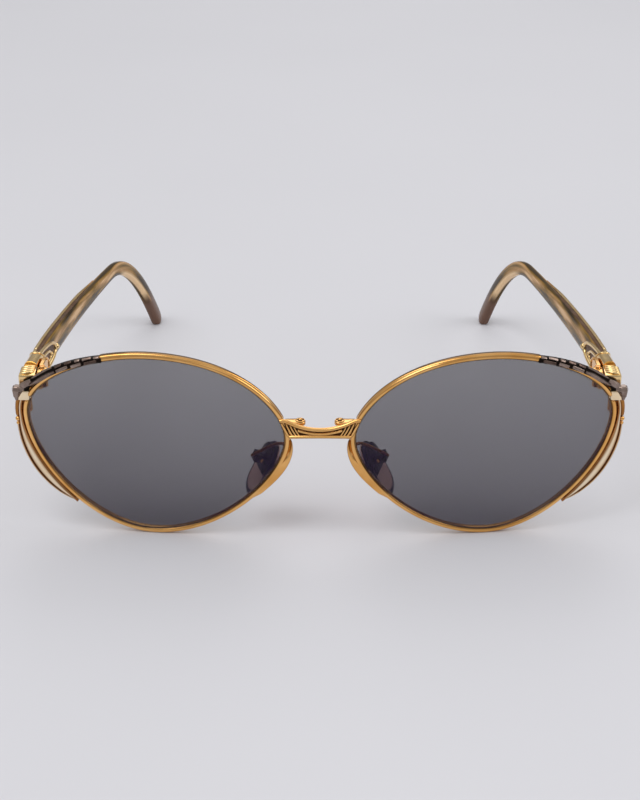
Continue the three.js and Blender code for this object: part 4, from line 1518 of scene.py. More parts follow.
@dataclass
class SideBars:
    """Broad bar and thin rod down the temple side of a rim."""

    eye: Eye
    on_rim: float = 1.17
    bar_top: float = 1.01702
    bar_end: float = 19.0
    bar_width: float = 2.5
    bar_top_width: float = 1.0
    bar_thinnest: float = 0.25
    bar_belly: float = 0.75
    bar_top_grows: Span = (0.3, 0.9)
    bar_front: float = -0.15
    bar_back: float = 1.9
    rod_end: float = 18.4
    rod_gap: float = 0.15
    rod_width: float = 0.65
    rod_front: float = 0.2
    rod_back: float = 1.55
    tab_length: float = 0.024
    tab_inset: float = 0.2
    tab_width: float = 0.95
    tab_flare: Span = (0.9, 1.2)
    tab_ahead: float = 0.3
    bead_sizes: Pairs = ((0.0285, 0.62), (0.0345, 0.45))
    bead_depth: float = 0.5
    leaf_share: float = 0.2
    leaf_ribs: int = 5
    leaf_swell: Span = (0.8, 1.25)
    leaf_rib: Span = (0.86, 1.06)
    leaf_tip: float = 0.3

    def bar_bottom(self) -> float:
        """Share at which the broad bar starts."""
        return self.eye.share_across(self.bar_end, *self.eye.side_span)

    def width_at(self, share: float) -> float:
        """Width of the broad bar: widest below the middle.

        Args:
            share: share of the way round the lens.

        Returns:
            The width.
        """
        bottom = self.bar_bottom()
        t = min(1.0, max(0.0, (share - bottom) / (self.bar_top - bottom)))
        swell = self.bar_width * sin(pi * t**self.bar_belly)
        return max(swell, self.bar_top_width * ease(*self.bar_top_grows, t), self.bar_thinnest)

    def bar(self) -> Piece:
        """Broad bar with a crowned front.

        Returns:
            The bar.
        """
        rings = []
        for share in shares(44, self.bar_bottom(), self.bar_top):
            width = self.width_at(share)
            section = oval(self.on_rim, self.on_rim + width, self.bar_front, self.bar_back, 10, 0.85)
            rings.append(self.eye.ring(self.eye.edge(share), section))
        return self.eye.swept("side_bar_crowned", rings)

    def rod_middle(self, share: float) -> float:
        """Distance of the rod's middle outwards from the lens's edge."""
        return self.on_rim + self.width_at(share) + self.rod_gap + self.rod_width / 2

    def rod(self) -> Piece:
        """Thin rod, with a bead under its flat tab and a ribbed leaf at its lower end.

        Returns:
            The rod.
        """
        eye = self.eye
        low = eye.share_across(self.rod_end, *eye.side_span)
        high = self.bar_top - self.tab_length
        rings = []
        count = 120
        for i, share in enumerate(shares(count, low, high)):
            t = i / (count - 1)
            middle = self.rod_middle(share)
            half = self.rod_width / 2
            if t < self.leaf_share:
                turn = pi * t / self.leaf_share
                rib = 0.5 + 0.5 * cos(2 * self.leaf_ribs * turn)
                half *= blend(*self.leaf_swell, sin(turn)) * blend(*self.leaf_rib, rib)
                half *= blend(self.leaf_tip, 1.0, ease(0.0, self.leaf_share / 3, t))
            section = oval(middle - half, middle + half, self.rod_front, self.rod_back, 8, 0.9)
            rings.append(eye.ring(eye.edge(share), section))
        return eye.swept("side_rod_ribbed", rings)

    def beads(self) -> Piece:
        """Bright step of two beads under the flat tab.

        Returns:
            The beads.
        """
        made = []
        for back, radius in self.bead_sizes:
            share = self.bar_top - back
            place = self.eye.frame_at(self.eye.edge(share), self.rod_middle(share), self.bead_depth)
            made.append(turned("bead", place, [(r * radius, h * radius) for r, h in BALL]))
        return join("side_rod_beads", made)

    def tab(self) -> Piece:
        """Flat tab that the rod starts from, under the end cap.

        Returns:
            The tab.
        """
        rings = []
        for t in shares(14):
            share = self.bar_top - self.tab_length * (1 - t)
            middle = self.rod_middle(share) - self.tab_inset
            half = self.tab_width / 2 * blend(*self.tab_flare, t)
            front = self.rod_front - self.tab_ahead
            section = oval(middle - half, middle + half, front, self.rod_back, 8, 0.5)
            rings.append(self.eye.ring(self.eye.edge(share), section))
        return sweep("side_rod_tab", rings, rounding=1)

    def build(self) -> None:
        """Model the bars and put them on both sides."""
        # The bar and the rod wear the lighter gold, a painted highlight; the tab wears the darker gold,
        # painted shade.
        put_on_pair(self.bar(), Palette.HIGHLIGHT_GOLD, "side_bar")
        put_on_pair(self.rod(), Palette.HIGHLIGHT_GOLD, "side_rod")
        put_on_pair(self.beads(), Palette.GOLD)
        put_on_pair(self.tab(), Palette.SHADED_GOLD)


@dataclass
class NoseFlange:
    """Crescent on the nose side of a rim, under the bridge."""

    eye: Eye
    on_rim: float = 1.17
    under_rim: float = 0.7
    over_rim: float = 0.3
    top_rise: float = 2.6
    end_across: float = -21.9
    width: float = 1.05
    thinnest: float = 0.2
    belly: float = 0.65
    taper: float = 1.5
    end_dip: float = 0.5
    dips_from: float = 0.85
    groove: float = 0.55
    groove_closes: Span = (0.15, 0.4)
    front: float = -0.14
    back: float = 1.7

    def build(self) -> None:
        """Model the crescent, keeled along its front, and put it on both sides."""
        eye = self.eye
        start = eye.share_rise(self.top_rise, *eye.nose_span)
        end = eye.share_across(self.end_across, *eye.nose_span)
        rings = []
        for t in shares(36):
            width = self.thinnest + self.width * sin(pi * t**self.belly) ** self.taper
            dip = self.end_dip * ease(self.dips_from, 1.0, t)
            outside = self.on_rim + width - dip
            front = self.front + dip
            closed = ease(*self.groove_closes, t)
            inside = blend(self.under_rim, self.over_rim, closed)
            groove = blend(self.groove, 0.0, closed)
            section = [
                (inside, front + groove + 0.15),
                (blend(self.on_rim, inside + 0.25, closed), front + groove),
                (self.on_rim + 0.4 * width, front),
                (outside - 0.2 * width, front + 0.12),
                (outside, front + 0.6),
                (outside - 0.15 * width, self.back - 0.2),
                (self.on_rim, self.back),
                (self.under_rim, self.back - 0.2),
            ]
            rings.append(eye.ring(eye.edge(blend(start, end, t)), section))
        piece = eye.swept("nose_flange_crescent", rings)
        put_on_pair(piece, Palette.GOLD, "nose_flange")


@dataclass
class Bridge:
    """Saddle of three rods between the rims, fluted at its ends, with a lug above each end."""

    nose: Triple = (7.88, -62.86, 25.81)
    half: float = 9.55
    gap_half: float = 8.1
    top_end: float = 5.6
    top_middle: float = 3.5
    bottom_end: float = 0.9
    bottom_middle: float = 1.3
    depth: float = 2.0
    cover: float = 0.6
    arch: float = 0.5
    low_half: float = 7.3
    sunk: float = 0.8
    saddle_inset: float = 0.2
    saddle_edge: float = 0.15
    recess_inset: float = 0.5
    recess_span: Span = (0.7, 1.0)
    middle_half: float = 5.2
    rod_radii: Triple = (0.48, 0.36, 0.46)
    rods_raised: Triple = (-0.03, -1.14, 0.44)
    rods_behind: Triple = (0.4, 0.5, 0.45)
    flute_inset: Span = (0.5, 0.4)
    flute_behind: float = 0.45
    flute_slim: float = 0.55
    flute_ends: tuple[tuple[float, float, float], ...] = (
        (9.0, 7.15, 0.42),
        (7.9, 6.15, 0.33),
        (6.95, 5.3, 0.3),
        (6.05, 4.55, 0.26),
    )
    # Ways of the rods' crests; the rods get painted shade where they turn from both.
    rod_front: Triple = (0.0, -0.95, 0.31)
    rod_top: Triple = (0.0, -0.5, 0.866)
    lug_across: float = 4.6
    lug_width: float = 2.5
    lug_thickness: float = 1.0
    lug_rise: float = 4.2
    lug_gap: float = 0.12
    lug_neck: float = 2.0
    lug_neck_half: float = 1.15
    lug_end: float = 8.2
    lug_end_half: float = 1.1
    lug_levels: Pairs = ((-1.0, 0.84), (-0.8, 1.0), (-0.25, 1.0), (-0.05, 0.9), (0.0, 0.74))

    def share(self, x: float) -> float:
        """How far a place has gone from the middle to the rims."""
        return min(1.0, abs(x) / self.gap_half) ** 2

    def front(self, x: float) -> float:
        """The saddle's front at a place across."""
        return self.nose[1] - self.cover - self.arch * (1 - self.share(x))

    def top(self, x: float) -> float:
        """The saddle's top at a place across."""
        return self.nose[2] + blend(self.top_middle, self.top_end, self.share(x))

    def bottom(self, x: float) -> float:
        """The saddle's lower edge at a place across."""
        return self.nose[2] + blend(self.bottom_middle, self.bottom_end, self.share(x))

    def rods(self) -> list[Piece]:
        """Three rods across the saddle: two that follow its top, and one its lower edge.

        Returns:
            The rods.
        """
        made = []
        halves = (self.half, self.middle_half, self.low_half)
        lines = (self.top, self.top, self.bottom)
        for half, line, radius, raised, behind in zip(
            halves, lines, self.rod_radii, self.rods_raised, self.rods_behind
        ):
            path = [Vector((x, self.front(x) + behind, line(x) + raised)) for x in shares(33, -half, half)]
            made.append(wire("bridge_rod", path, radius, sides=10))
        return made

    def end_at(self, share: float) -> float:
        """How far the saddle reaches across, from its lower edge to its top."""
        return blend(self.low_half, self.half, share)

    def saddle(self) -> Piece:
        """Saddle behind the rods, narrower below.

        Returns:
            The saddle.
        """
        piece = self.plate("bridge_saddle", self.sunk, self.depth, self.saddle_inset)
        apply_modifier(piece, "BEVEL", width=self.saddle_edge * MM, segments=2, limit_method="ANGLE")
        soften(piece)
        return piece

    def plate(self, name: str, front: float, back: float, inset: float) -> Piece:
        """Plate with the saddle's outline.

        Args:
            name: its name.
            front: its front, behind the saddle's front.
            back: its back, behind the saddle's front.
            inset: how far its edges are inside the saddle's.

        Returns:
            The plate.
        """
        rings = []
        for side in shares(25, -1.0, 1.0):
            ring = []
            for share, depth in ((0.0, front), (1.0, front), (1.0, back), (0.0, back)):
                x = side * (self.end_at(share) - 1.5 * inset)
                z = blend(self.bottom(x) + inset, self.top(x) - inset, share)
                ring.append(Vector((x, self.front(x) + depth, z)))
            rings.append(ring)
        return sweep(name, rings)

    def flutes(self) -> list[Piece]:
        """Slanted flutes at each end of the saddle, side by side along the rim.

        Returns:
            The flutes.
        """
        made = []
        under, over = self.flute_inset
        for side in (-1, 1):
            for top_x, low_x, radius in self.flute_ends:
                path = []
                radii = []
                for t in shares(9):
                    x = side * blend(top_x, low_x, t)
                    z = blend(self.top(x) - under, self.bottom(x) + over, t)
                    path.append(Vector((x, self.front(x) + self.flute_behind, z)))
                    swell = sin(pi * blend(0.1, 0.9, t))
                    radii.append(radius * blend(self.flute_slim, 1.0, swell))
                made.append(wire("flute", path, radii))
        return made

    def lug_place(self) -> Vector:
        """Middle of the lug's round end, on its top."""
        back = self.nose[1] - self.cover + self.depth + self.lug_gap + self.lug_width / 2
        return Vector((self.lug_across, back, self.nose[2] + self.lug_rise))

    def lug(self) -> Piece:
        """Tapered lug from the back of the rim, with a round end.

        Returns:
            The lug.
        """
        middle = self.lug_place()
        reach = self.lug_width / 2
        outline = []
        for turn in shares(17, 85.0, 275.0):
            angle = radians(turn)
            outline.append((reach * cos(angle), reach * sin(angle)))
        end = self.lug_end - self.lug_across
        outline += [(self.lug_neck, -self.lug_neck_half), (end, -self.lug_end_half)]
        outline += [(end, self.lug_end_half), (self.lug_neck, self.lug_neck_half)]
        rings = []
        for level, share in self.lug_levels:
            z = level * self.lug_thickness
            rings.append([middle + Vector((blend(x, x * share, 0.5), y * share, z)) for x, y in outline])
        return sweep("bridge_lug_teardrop", rings, degrees=50.0)

    def boss(self) -> Piece:
        """Ball in a raised ring on the lug's round end.

        Returns:
            The ball and its ring.
        """
        ring = [(0.2, -0.5), (1.1, -0.5), (1.12, 0.06), (1.04, 0.18)]
        ring += [(0.92, 0.2), (0.82, 0.1), (0.78, -0.35)]
        ball = [(0.42, -0.35), (0.54, 0.05), (0.54, 0.22), (0.42, 0.42), (0.22, 0.54), (0.05, 0.57)]
        piece = turned("bridge_boss", Matrix.Translation(self.lug_place()), ring + ball, 28)
        # Painted shade on the boss where it turns from straight up.
        mark_painted_shade(piece, lambda place: Vector((0.0, 0.0, 1.0)))
        return piece

    def build(self) -> None:
        """Model the bridge and its lugs and put them on the front."""
        rods = join("bridge_rods", [*self.rods(), *self.flutes()])
        # Painted shade on the rods and flutes where they turn from the front and the top.
        mark_painted_shade(rods, lambda place: Vector(self.rod_front), lambda place: Vector(self.rod_top))
        put_on(rods, "front", Palette.GOLD)
        put_on(self.saddle(), "front", Palette.GOLD, ["bridge"])
        # A dark plate behind the rods: painted shade in the recess between them.
        recess = self.plate("bridge_recess", *self.recess_span, self.recess_inset)
        put_on(recess, "front", Palette.SHADE_AND_ENAMEL)
        put_on_pair(self.lug(), Palette.GOLD, "bridge_lug")
        put_on_pair(self.boss(), Palette.GOLD, "bridge_rivet")


@dataclass
class HingeCorner:
    """Gold block at the corner that carries the hinge, ribbed on its top."""

    eye: Eye
    side: float = 66.42
    width: float = 3.9
    front: float = -55.0
    stop: float = -49.804
    rise: float = 36.803
    height: float = 4.8
    edge: float = 0.45
    over_low: Triple = (30.3, 10.5, -0.2)
    over_high: Triple = (33.0, 12.5, 4.5)
    over_drop: float = 0.3
    over_size: Triple = (2.8, 5.2, 2.5)
    over_edge: float = 0.35
    axis: Span = (65.2, -51.004)
    knuckle_radius: float = 1.1
    knuckle_height: float = 1.5
    knuckle_gap: float = 0.12
    knuckle_edge: Span = (0.15, 0.12)
    neck: float = 1.45
    neck_width: float = 1.0
    neck_edge: float = 0.1
    leaf_levels: Pairs = ((0.0, 0.92), (0.14, 1.0), (0.86, 1.0), (1.0, 0.94))
    leaf_bead: float = 0.24
    leaf_bead_in: Span = (0.35, 0.84)
    front_reach: float = 3.6
    temple_reach: float = 8.0
    temple_lean: float = -0.0546
    rib_count: int = 4
    rib_ends: Span = (0.8, 1.3)
    rib_taper: float = 0.45
    rib_half: float = 1.6
    rib_slant: float = 0.45
    rib_bow: float = 0.5
    rib_rise: float = 0.25
    rib_radius: float = 0.42

    def body(self) -> Piece:
        """Block beside the hinge.

        Returns:
            The block.
        """
        size = (self.width, self.stop - self.front, self.height)
        middle = (self.side + self.width / 2, (self.stop + self.front) / 2, self.rise)
        return block("end_piece_block", size, self.edge, Matrix.Translation(middle))

    def over(self) -> Piece:
        """Block over the rim's split.

        Returns:
            The block.
        """
        middle = (self.eye.at(*self.over_low) + self.eye.at(*self.over_high)) / 2
        middle.z -= self.over_drop
        return block("end_piece_over_rim", self.over_size, self.over_edge, Matrix.Translation(middle))

    def ribs(self) -> Piece:
        """Bowed ribs side by side across the block's top.

        Returns:
            The ribs.
        """
        top = self.rise + self.height / 2
        middle = self.side + self.width / 2
        spread = shares(13, -1.0, 1.0)
        radii = [self.rib_radius * (1 - self.rib_taper * t * t) for t in spread]
        first, last = self.rib_ends
        made = []
        for place in shares(self.rib_count, self.front + first, self.stop - last):
            path = []
            for t in spread:
                along = place - self.rib_slant * t + self.rib_bow * t * t
                path.append(Vector((middle + self.rib_half * t, along, top + self.rib_rise * (1 - t * t))))
            made.append(wire("rib", path, radii))
        return join("end_piece_ribs", made)

    def knuckle(self, level: int) -> Piece:
        """One of the hinge's three knuckles, its edges broken.

        Args:
            level: 0 for the lowest, 2 for the highest.

        Returns:
            The knuckle.
        """
        low = (level - 1) * (self.knuckle_height + self.knuckle_gap) - self.knuckle_height / 2
        high = low + self.knuckle_height
        radius = self.knuckle_radius
        slim, edge = self.knuckle_edge
        profile = [(radius - slim, low), (radius, low + edge), (radius, high - edge), (radius - slim, high)]
        return turned("knuckle", Matrix.Translation((*self.axis, self.rise)), profile, 28)

    def leaf(self, towards: int, reach: float, lean: float) -> list[Piece]:
        """Arched leaf of the hinge with a bead of wire along its edge.

        Args:
            towards: 1 for the temple's leaf, -1 for the front's.
            reach: how far it reaches from the hinge's axis.
            lean: how far it slants outwards for each millimetre back.

        Returns:
            The leaf and its edge.
        """
        half = 1.5 * self.knuckle_height + self.knuckle_gap
        bend = min(half, reach - self.neck)
        outline = [(self.neck, -half), (self.neck, half)]
        for turn in shares(13, 90.0, -90.0):
            angle = radians(turn)
            outline.append((reach - bend + bend * cos(angle), half * sin(angle)))
        place = Vector((*self.axis, self.rise))
        rings = []
        for out, share in self.leaf_levels:
            ring = []
            for along, up in outline:
                slant = lean * (along - self.neck)
                ring.append(place + Vector((out + slant, towards * along, up * share)))
            rings.append(ring)
        inset, share = self.leaf_bead_in
        edge = []
        for along, up in outline[2:]:
            slant = lean * (along - self.neck)
            edge.append(place + Vector((slant, towards * (along - inset), share * up)))
        return [sweep("leaf", rings, degrees=30.0), wire("leaf_edge", edge, self.leaf_bead)]

    def neck_block(self, towards: int, raised: float) -> Piece:
        """Neck between a leaf and one of its knuckles.

        Args:
            towards: 1 for the temple's leaf, -1 for the front's.
            raised: height over the middle.

        Returns:
            The neck.
        """
        size = (self.neck_width, self.neck, self.knuckle_height)
        middle = Vector((*self.axis, self.rise))
        middle += Vector((self.neck_width / 2, towards * self.neck / 2, raised))
        return block("neck", size, self.neck_edge, Matrix.Translation(middle))

    def hinge(self) -> None:
        """Model the hinge's two leaves and put them on both sides."""
        step = self.knuckle_height + self.knuckle_gap
        front = [*self.leaf(-1, self.front_reach, 0.0), self.knuckle(0), self.knuckle(2)]
        front += [self.neck_block(-1, -step), self.neck_block(-1, step)]
        temple = [*self.leaf(1, self.temple_reach, self.temple_lean), self.knuckle(1)]
        temple.append(self.neck_block(1, 0.0))
        leaf = join("hinge_front_leaf", front)
        put_on_pair(leaf, Palette.GOLD, "front_leaf")
        leaf = join("hinge_temple_leaf", temple)
        put_on_pair(leaf, Palette.GOLD, "temple_leaf", carrier=Carrier.TEMPLE)

    def build(self) -> None:
        """Model the corner and put it on both sides."""
        self.hinge()
        # The block, the ribs and the block over the rim wear lighter copies of the gold: painted light.
        put_on_pair(self.body(), Palette.LIT_GOLD, "end_piece")
        put_on_pair(self.over(), Palette.HIGHLIGHT_GOLD)
        put_on_pair(self.ribs(), Palette.LIT_GOLD)


@dataclass(frozen=True)
class TopStrip:
    """A strip along the temple's top: its ends and its section's limits, each slim and full."""

    name: str
    start: float
    length: float
    inner: Span
    outer: Span
    low: float
    high: Span
    square: float
    rounding: int


@dataclass
class Temple:
    """Temple: clear sleeve over a metal core, ornamental ferrule, and strips along its top."""

    start: Triple = (68.17, -50.104, 36.403)
    reach: float = 80.6
    toe_in: float = 9.6
    bow: float = 1.3
    fall: float = 7.4
    bend: float = 20.5
    tip_toe_in: float = 19.2
    tip_reach: float = 112.5
    tip_rise: float = -0.9
    tip_rounding: float = 2.4
    thickness: float = 2.6
    tip_thickness: float = 3.0
    front_height: float = 6.6
    ear_height: float = 3.9
    tip_height: float = 5.6
    sleeve_from: float = 1.5
    core_thickness: float = 1.0
    core_height: float = 2.2
    core_ends_before: float = 14.0
    square: float = 0.72
    fineness: int = 400
    tip_turns: tuple[float, ...] = (20.0, 40.0, 58.0, 74.0, 84.0)
    ferrule_length: float = 20.5
    ferrule_cup: float = 8.5
    ferrule_wall: float = 0.55
    mouth_arch: float = 2.5
    lip_radius: float = 0.28
    arch_foot: float = 5.0
    arch_half: float = 3.1
    arch_radius: float = 0.55
    arch_raised: float = 0.1
    inner_arch: tuple[float, ...] = (15.5, 6.0, 1.9, 0.42)
    bead_sizes: Pairs = ((21.4, 0.8), (15.9, 0.55))
    bead_out: float = 0.2
    ground_raised: float = 0.12
    ground_sunk: float = 0.25
    strip_slimmest: float = 0.12
    strip_opens: float = 3.0
    strip_closes: float = 14.0
    gold_strip: TopStrip = TopStrip(
        "temple_strip_gold", start=6.5, length=62.0,
        inner=(0.9, 0.4), outer=(0.9, 1.38), low=-0.55, high=(-0.2, 0.3),
        square=0.7, rounding=1,
    )
    brown_band: TopStrip = TopStrip(
        "temple_band_brown", start=3.5, length=58.0,
        inner=(-0.05, -0.47), outer=(0.02, 0.44), low=-0.5, high=(-0.06, 0.14),
        square=0.6, rounding=0,
    )
    line: list[Vector] = field(default_factory=list)
    runs: list[float] = field(default_factory=list)

    def __post_init__(self) -> None:
        """Lay out the temple's middle line."""
        start = Vector(self.start)
        ear = start + Vector((-self.toe_in, self.reach, -self.fall))
        bow = start.lerp(ear, 0.5) + Vector((2 * self.bow, 0.0, 0.0))
        corner = ear + (ear - bow).normalized() * self.bend
        tip = Vector((start.x - self.tip_toe_in, start.y + self.tip_reach, self.tip_rise))
        for points in ((start, bow, ear), (ear, corner, tip)):
            for i in range(self.fineness):
                t = i / self.fineness
                half = points[0] * (1 - t) ** 2 + points[1] * (2 * t * (1 - t))
                self.line.append(half + points[2] * t * t)
        self.line.append(tip)
        self.runs = run_lengths(self.line)

    def length(self) -> float:
        """Whole length of the middle line."""
        return self.runs[-1]

    def at(self, length: float, out: float, up: float) -> Vector:
        """Place a length along the temple, outwards and up from its middle line.

        Args:
            length: length along the temple.
            out: distance outwards.
            up: distance up.

        Returns:
            The place in millimetres.
        """
        i, share = step_at(self.runs, min(max(length, 0.0), self.length()))
        middle = self.line[i - 1].lerp(self.line[i], share)
        outwards, upwards = self.axes(i)
        return middle + outwards * out + upwards * up

    def axes(self, i: int) -> tuple[Vector, Vector]:
        """Directions outwards and up at the end of a step of the middle line.

        Args:
            i: number of the step's last point.

        Returns:
            The two directions.
        """
        along = (self.line[i] - self.line[i - 1]).normalized()
        outwards = Vector((1.0, 0.0, 0.0))
        outwards = (outwards - along * outwards.dot(along)).normalized()
        return outwards, outwards.cross(along)

    def tall(self, length: float) -> float:
        """Height of the sleeve a length along the temple.

        Args:
            length: length along the temple.

        Returns:
            The height.
        """
        slim = (length - self.ferrule_length) / (self.reach - self.ferrule_length)
        front = blend(self.front_height, self.ear_height, min(1.0, max(0.0, slim)))
        return blend(front, self.tip_height, self.widening(length))

    def thick(self, length: float) -> float:
        """Thickness of the sleeve a length along the temple."""
        return blend(self.thickness, self.tip_thickness, self.widening(length))

    def widening(self, length: float) -> float:
        """How far the sleeve has grown towards its tip."""
        return ease(self.reach, self.length() - self.tip_rounding, length)

    def ring(self, length: float, section: Section) -> Ring:
        """Ring of a section a length along the temple."""
        return [self.at(length, out, up) for out, up in section]

    def sleeve_ring(self, length: float, share: float = 1.0) -> Ring:
        """Ring of the sleeve a length along the temple, of a share of its size.

        Args:
            length: length along the temple.
            share: share of the sleeve's size.

        Returns:
            The ring.
        """
        half_out = share * self.thick(length) / 2
        half_up = share * self.tall(length) / 2
        return self.ring(length, oval(-half_out, half_out, -half_up, half_up, 16, self.square))

    def sleeve(self) -> Piece:
        """Clear sleeve with a rounded tip, flat where it stands.

        Returns:
            The sleeve.
        """
        last = self.length() - self.tip_rounding
        rings = [self.sleeve_ring(length) for length in shares(64, self.sleeve_from, last)]
        for turn in self.tip_turns:
            angle = radians(turn)
            length = self.length() - self.tip_rounding * (1 - sin(angle))
            rings.append(self.sleeve_ring(length, cos(angle)))
        for ring in rings:
            for place in ring:
                place.z = max(place.z, 0.0)
        piece = sweep("temple_sleeve_clear", rings, rounding=1)
        self.mark_lengths(piece)
        # Painted shade down the sleeve's top and bottom, where it turns from straight outwards.
        mark_painted_shade(piece, lambda place: Vector((1.0, 0.0, 0.0)))
        return piece

    def mark_lengths(self, piece: Piece) -> None:
        """Keep on each corner how far along, out and up the temple it is.

        Args:
            piece: the piece that is marked.
        """
        marks = piece.data.attributes.new(ALONG, "FLOAT_VECTOR", "POINT")
        depths = [place.y for place in self.line]
        reach = 60
        for corner, mark in zip(piece.data.vertices, marks.data):
            place = corner.co / MM
            near = bisect_left(depths, place.y)
            span = range(max(0, near - reach), min(len(depths), near + reach))
            i = min(span, key=lambda k: (self.line[k] - place).length_squared, default=len(depths) - 1)
            offset = place - self.line[i]
            outwards, upwards = self.axes(max(i, 1))
            mark.vector = Vector((self.runs[i], offset.dot(outwards), offset.dot(upwards))) * MM

    def core(self) -> Piece:
        """Flat metal core that shows through the sleeve.

        Returns:
            The core.
        """
        half_out = self.core_thickness / 2
        half_up = self.core_height / 2
        section = oval(-half_out, half_out, -half_up, half_up, 10, 0.6)
        lengths = shares(60, self.sleeve_from, self.length() - self.core_ends_before)
        return sweep("temple_core_drawn", [self.ring(length, section) for length in lengths])

    def cup(self) -> Piece:
        """Cup of the ferrule round the sleeve's front, its mouth arched."""
        return sweep("temple_ferrule_cup", [self.cup_ring(t) for t in shares(10, 0.02, 1.0)])

    def cup_ring(self, share: float) -> Ring:
        """Ring of the cup, a share of the way to its arched mouth.

        Args:
            share: share of the way to the mouth.

        Returns:
            The ring.
        """
        half_out = self.thickness / 2 + self.ferrule_wall
        half_up = self.front_height / 2 + self.ferrule_wall
        ring = []
        for out, up in oval(-half_out, half_out, -half_up, half_up, 64, self.square):
            mouth = self.ferrule_cup - self.mouth_arch * (up / half_up) ** 2
            ring.append(self.at(share * mouth, out, up))
        return ring

    def arch(self, face: int, apex: float, foot: float, half: float, radius: float) -> Piece:
        """Arch of wire on one face of the temple.

        Args:
            face: 1 for the outer face, -1 for the inner one.
            apex: length along the temple of its top.
            foot: length along the temple of its feet.
            half: half its width at its feet.
            radius: the wire's radius.

        Returns:
            The arch.
        """
        path = []
        for turn in shares(41, -90.0, 90.0):
            angle = radians(turn)
            length = foot + (apex - foot) * max(0.0, cos(angle)) ** 0.8
            up = half * copysign(abs(sin(angle)) ** 0.85, turn)
            path.append(self.on_face(face, length, up, self.arch_raised))
        return wire("arch", path, radius)

    def on_face(self, face: int, length: float, up: float, raised: float) -> Vector:
        """Place on one face of the temple.

        Args:
            face: 1 for the outer face, -1 for the inner one.
            length: length along the temple.
            up: height over the middle line.
            raised: how far it stands off the sleeve.

        Returns:
            The place.
        """
        half_up = self.tall(length) / 2
        bulge = max(0.0, 1 - abs(up / half_up) ** (2 / self.square)) ** (self.square / 2)
        return self.at(length, face * (self.thick(length) / 2 * bulge + raised), up)

    def ground(self, face: int) -> Piece:
        """Thin plate that fills the outer arch on one face of the temple.

        Args:
            face: 1 for the outer face, -1 for the inner one.

        Returns:
            The plate.
        """
        rings = []
        for t in shares(14, 0.0, 0.97):
            length = blend(self.arch_foot, self.ferrule_length, t)
            reach = self.arch_half * sqrt(1 - t * t)
            heights = shares(9, -reach, reach)
            ring = [self.on_face(face, length, up, self.ground_raised) for up in heights]
            ring += [self.on_face(face, length, up, -self.ground_sunk) for up in reversed(heights)]
            rings.append(ring)
        return sweep("ground", rings, degrees=60.0)

    def arches(self) -> Piece:
        """Lip of the cup, and nested arches on each face with a bead at the top of each.

        Returns:
            The lip, the arches and their beads.
        """
        lip = self.cup_ring(1.0)
        made = [wire("cup_lip", [*lip, lip[0]], self.lip_radius, sides=6)]
        outer_arch = (self.ferrule_length, self.arch_foot, self.arch_half, self.arch_radius)
        for face in (-1, 1):
            made += [self.arch(face, *outer_arch), self.arch(face, *self.inner_arch)]
            out = face * (self.thickness / 2 + self.bead_out)
            for length, radius in self.bead_sizes:
                middle = Matrix.Translation(self.at(length, out, 0.0))
                made.append(turned("bead", middle, [(radius * r, radius * h) for r, h in BALL]))
        return join("ferrule_arches", made)

    def strip(self, shape: TopStrip) -> Piece:
        """Strip along the temple's top, slim at its two ends.

        Args:
            shape: its ends and its section.

        Returns:
            The strip.
        """
        end = shape.start + shape.length
        rings = []
        for length in shares(60, shape.start, end):
            opened = (length - shape.start) / self.strip_opens
            full = max(self.strip_slimmest, min(1.0, opened, (end - length) / self.strip_closes))
            top = self.tall(length) / 2
            limits = (blend(*shape.inner, full), blend(*shape.outer, full))
            heights = (top + shape.low, top + blend(*shape.high, full))
            rings.append(self.ring(length, oval(*limits, *heights, 8, shape.square)))
        return sweep(shape.name, rings, shape.rounding)

    def build(self) -> None:
        """Model the temple and put it on both sides."""
        on_temple = partial(put_on_pair, carrier=Carrier.TEMPLE)
        on_temple(self.sleeve(), Palette.SLEEVE, "temple_sleeve", slot=Slot.SLEEVE)
        on_temple(self.core(), Palette.CORE, "temple_core")
        # The ferrule and the top strip wear the lit copy of the gold: painted light.
        on_temple(self.cup(), Palette.LIT_GOLD, "temple_ferrule")
        on_temple(self.arches(), Palette.LIT_GOLD)
        # Dark plates in the ferrule's arches: painted shade.
        grounds = join("ferrule_grounds", [self.ground(face) for face in (-1, 1)])
        on_temple(grounds, Palette.SHADE_AND_ENAMEL)
        strip = self.strip(self.gold_strip)
        on_temple(strip, Palette.LIT_GOLD, "temple_strip")
        on_temple(self.strip(self.brown_band), Palette.SHADE_AND_ENAMEL, slot=Slot.ENAMEL)


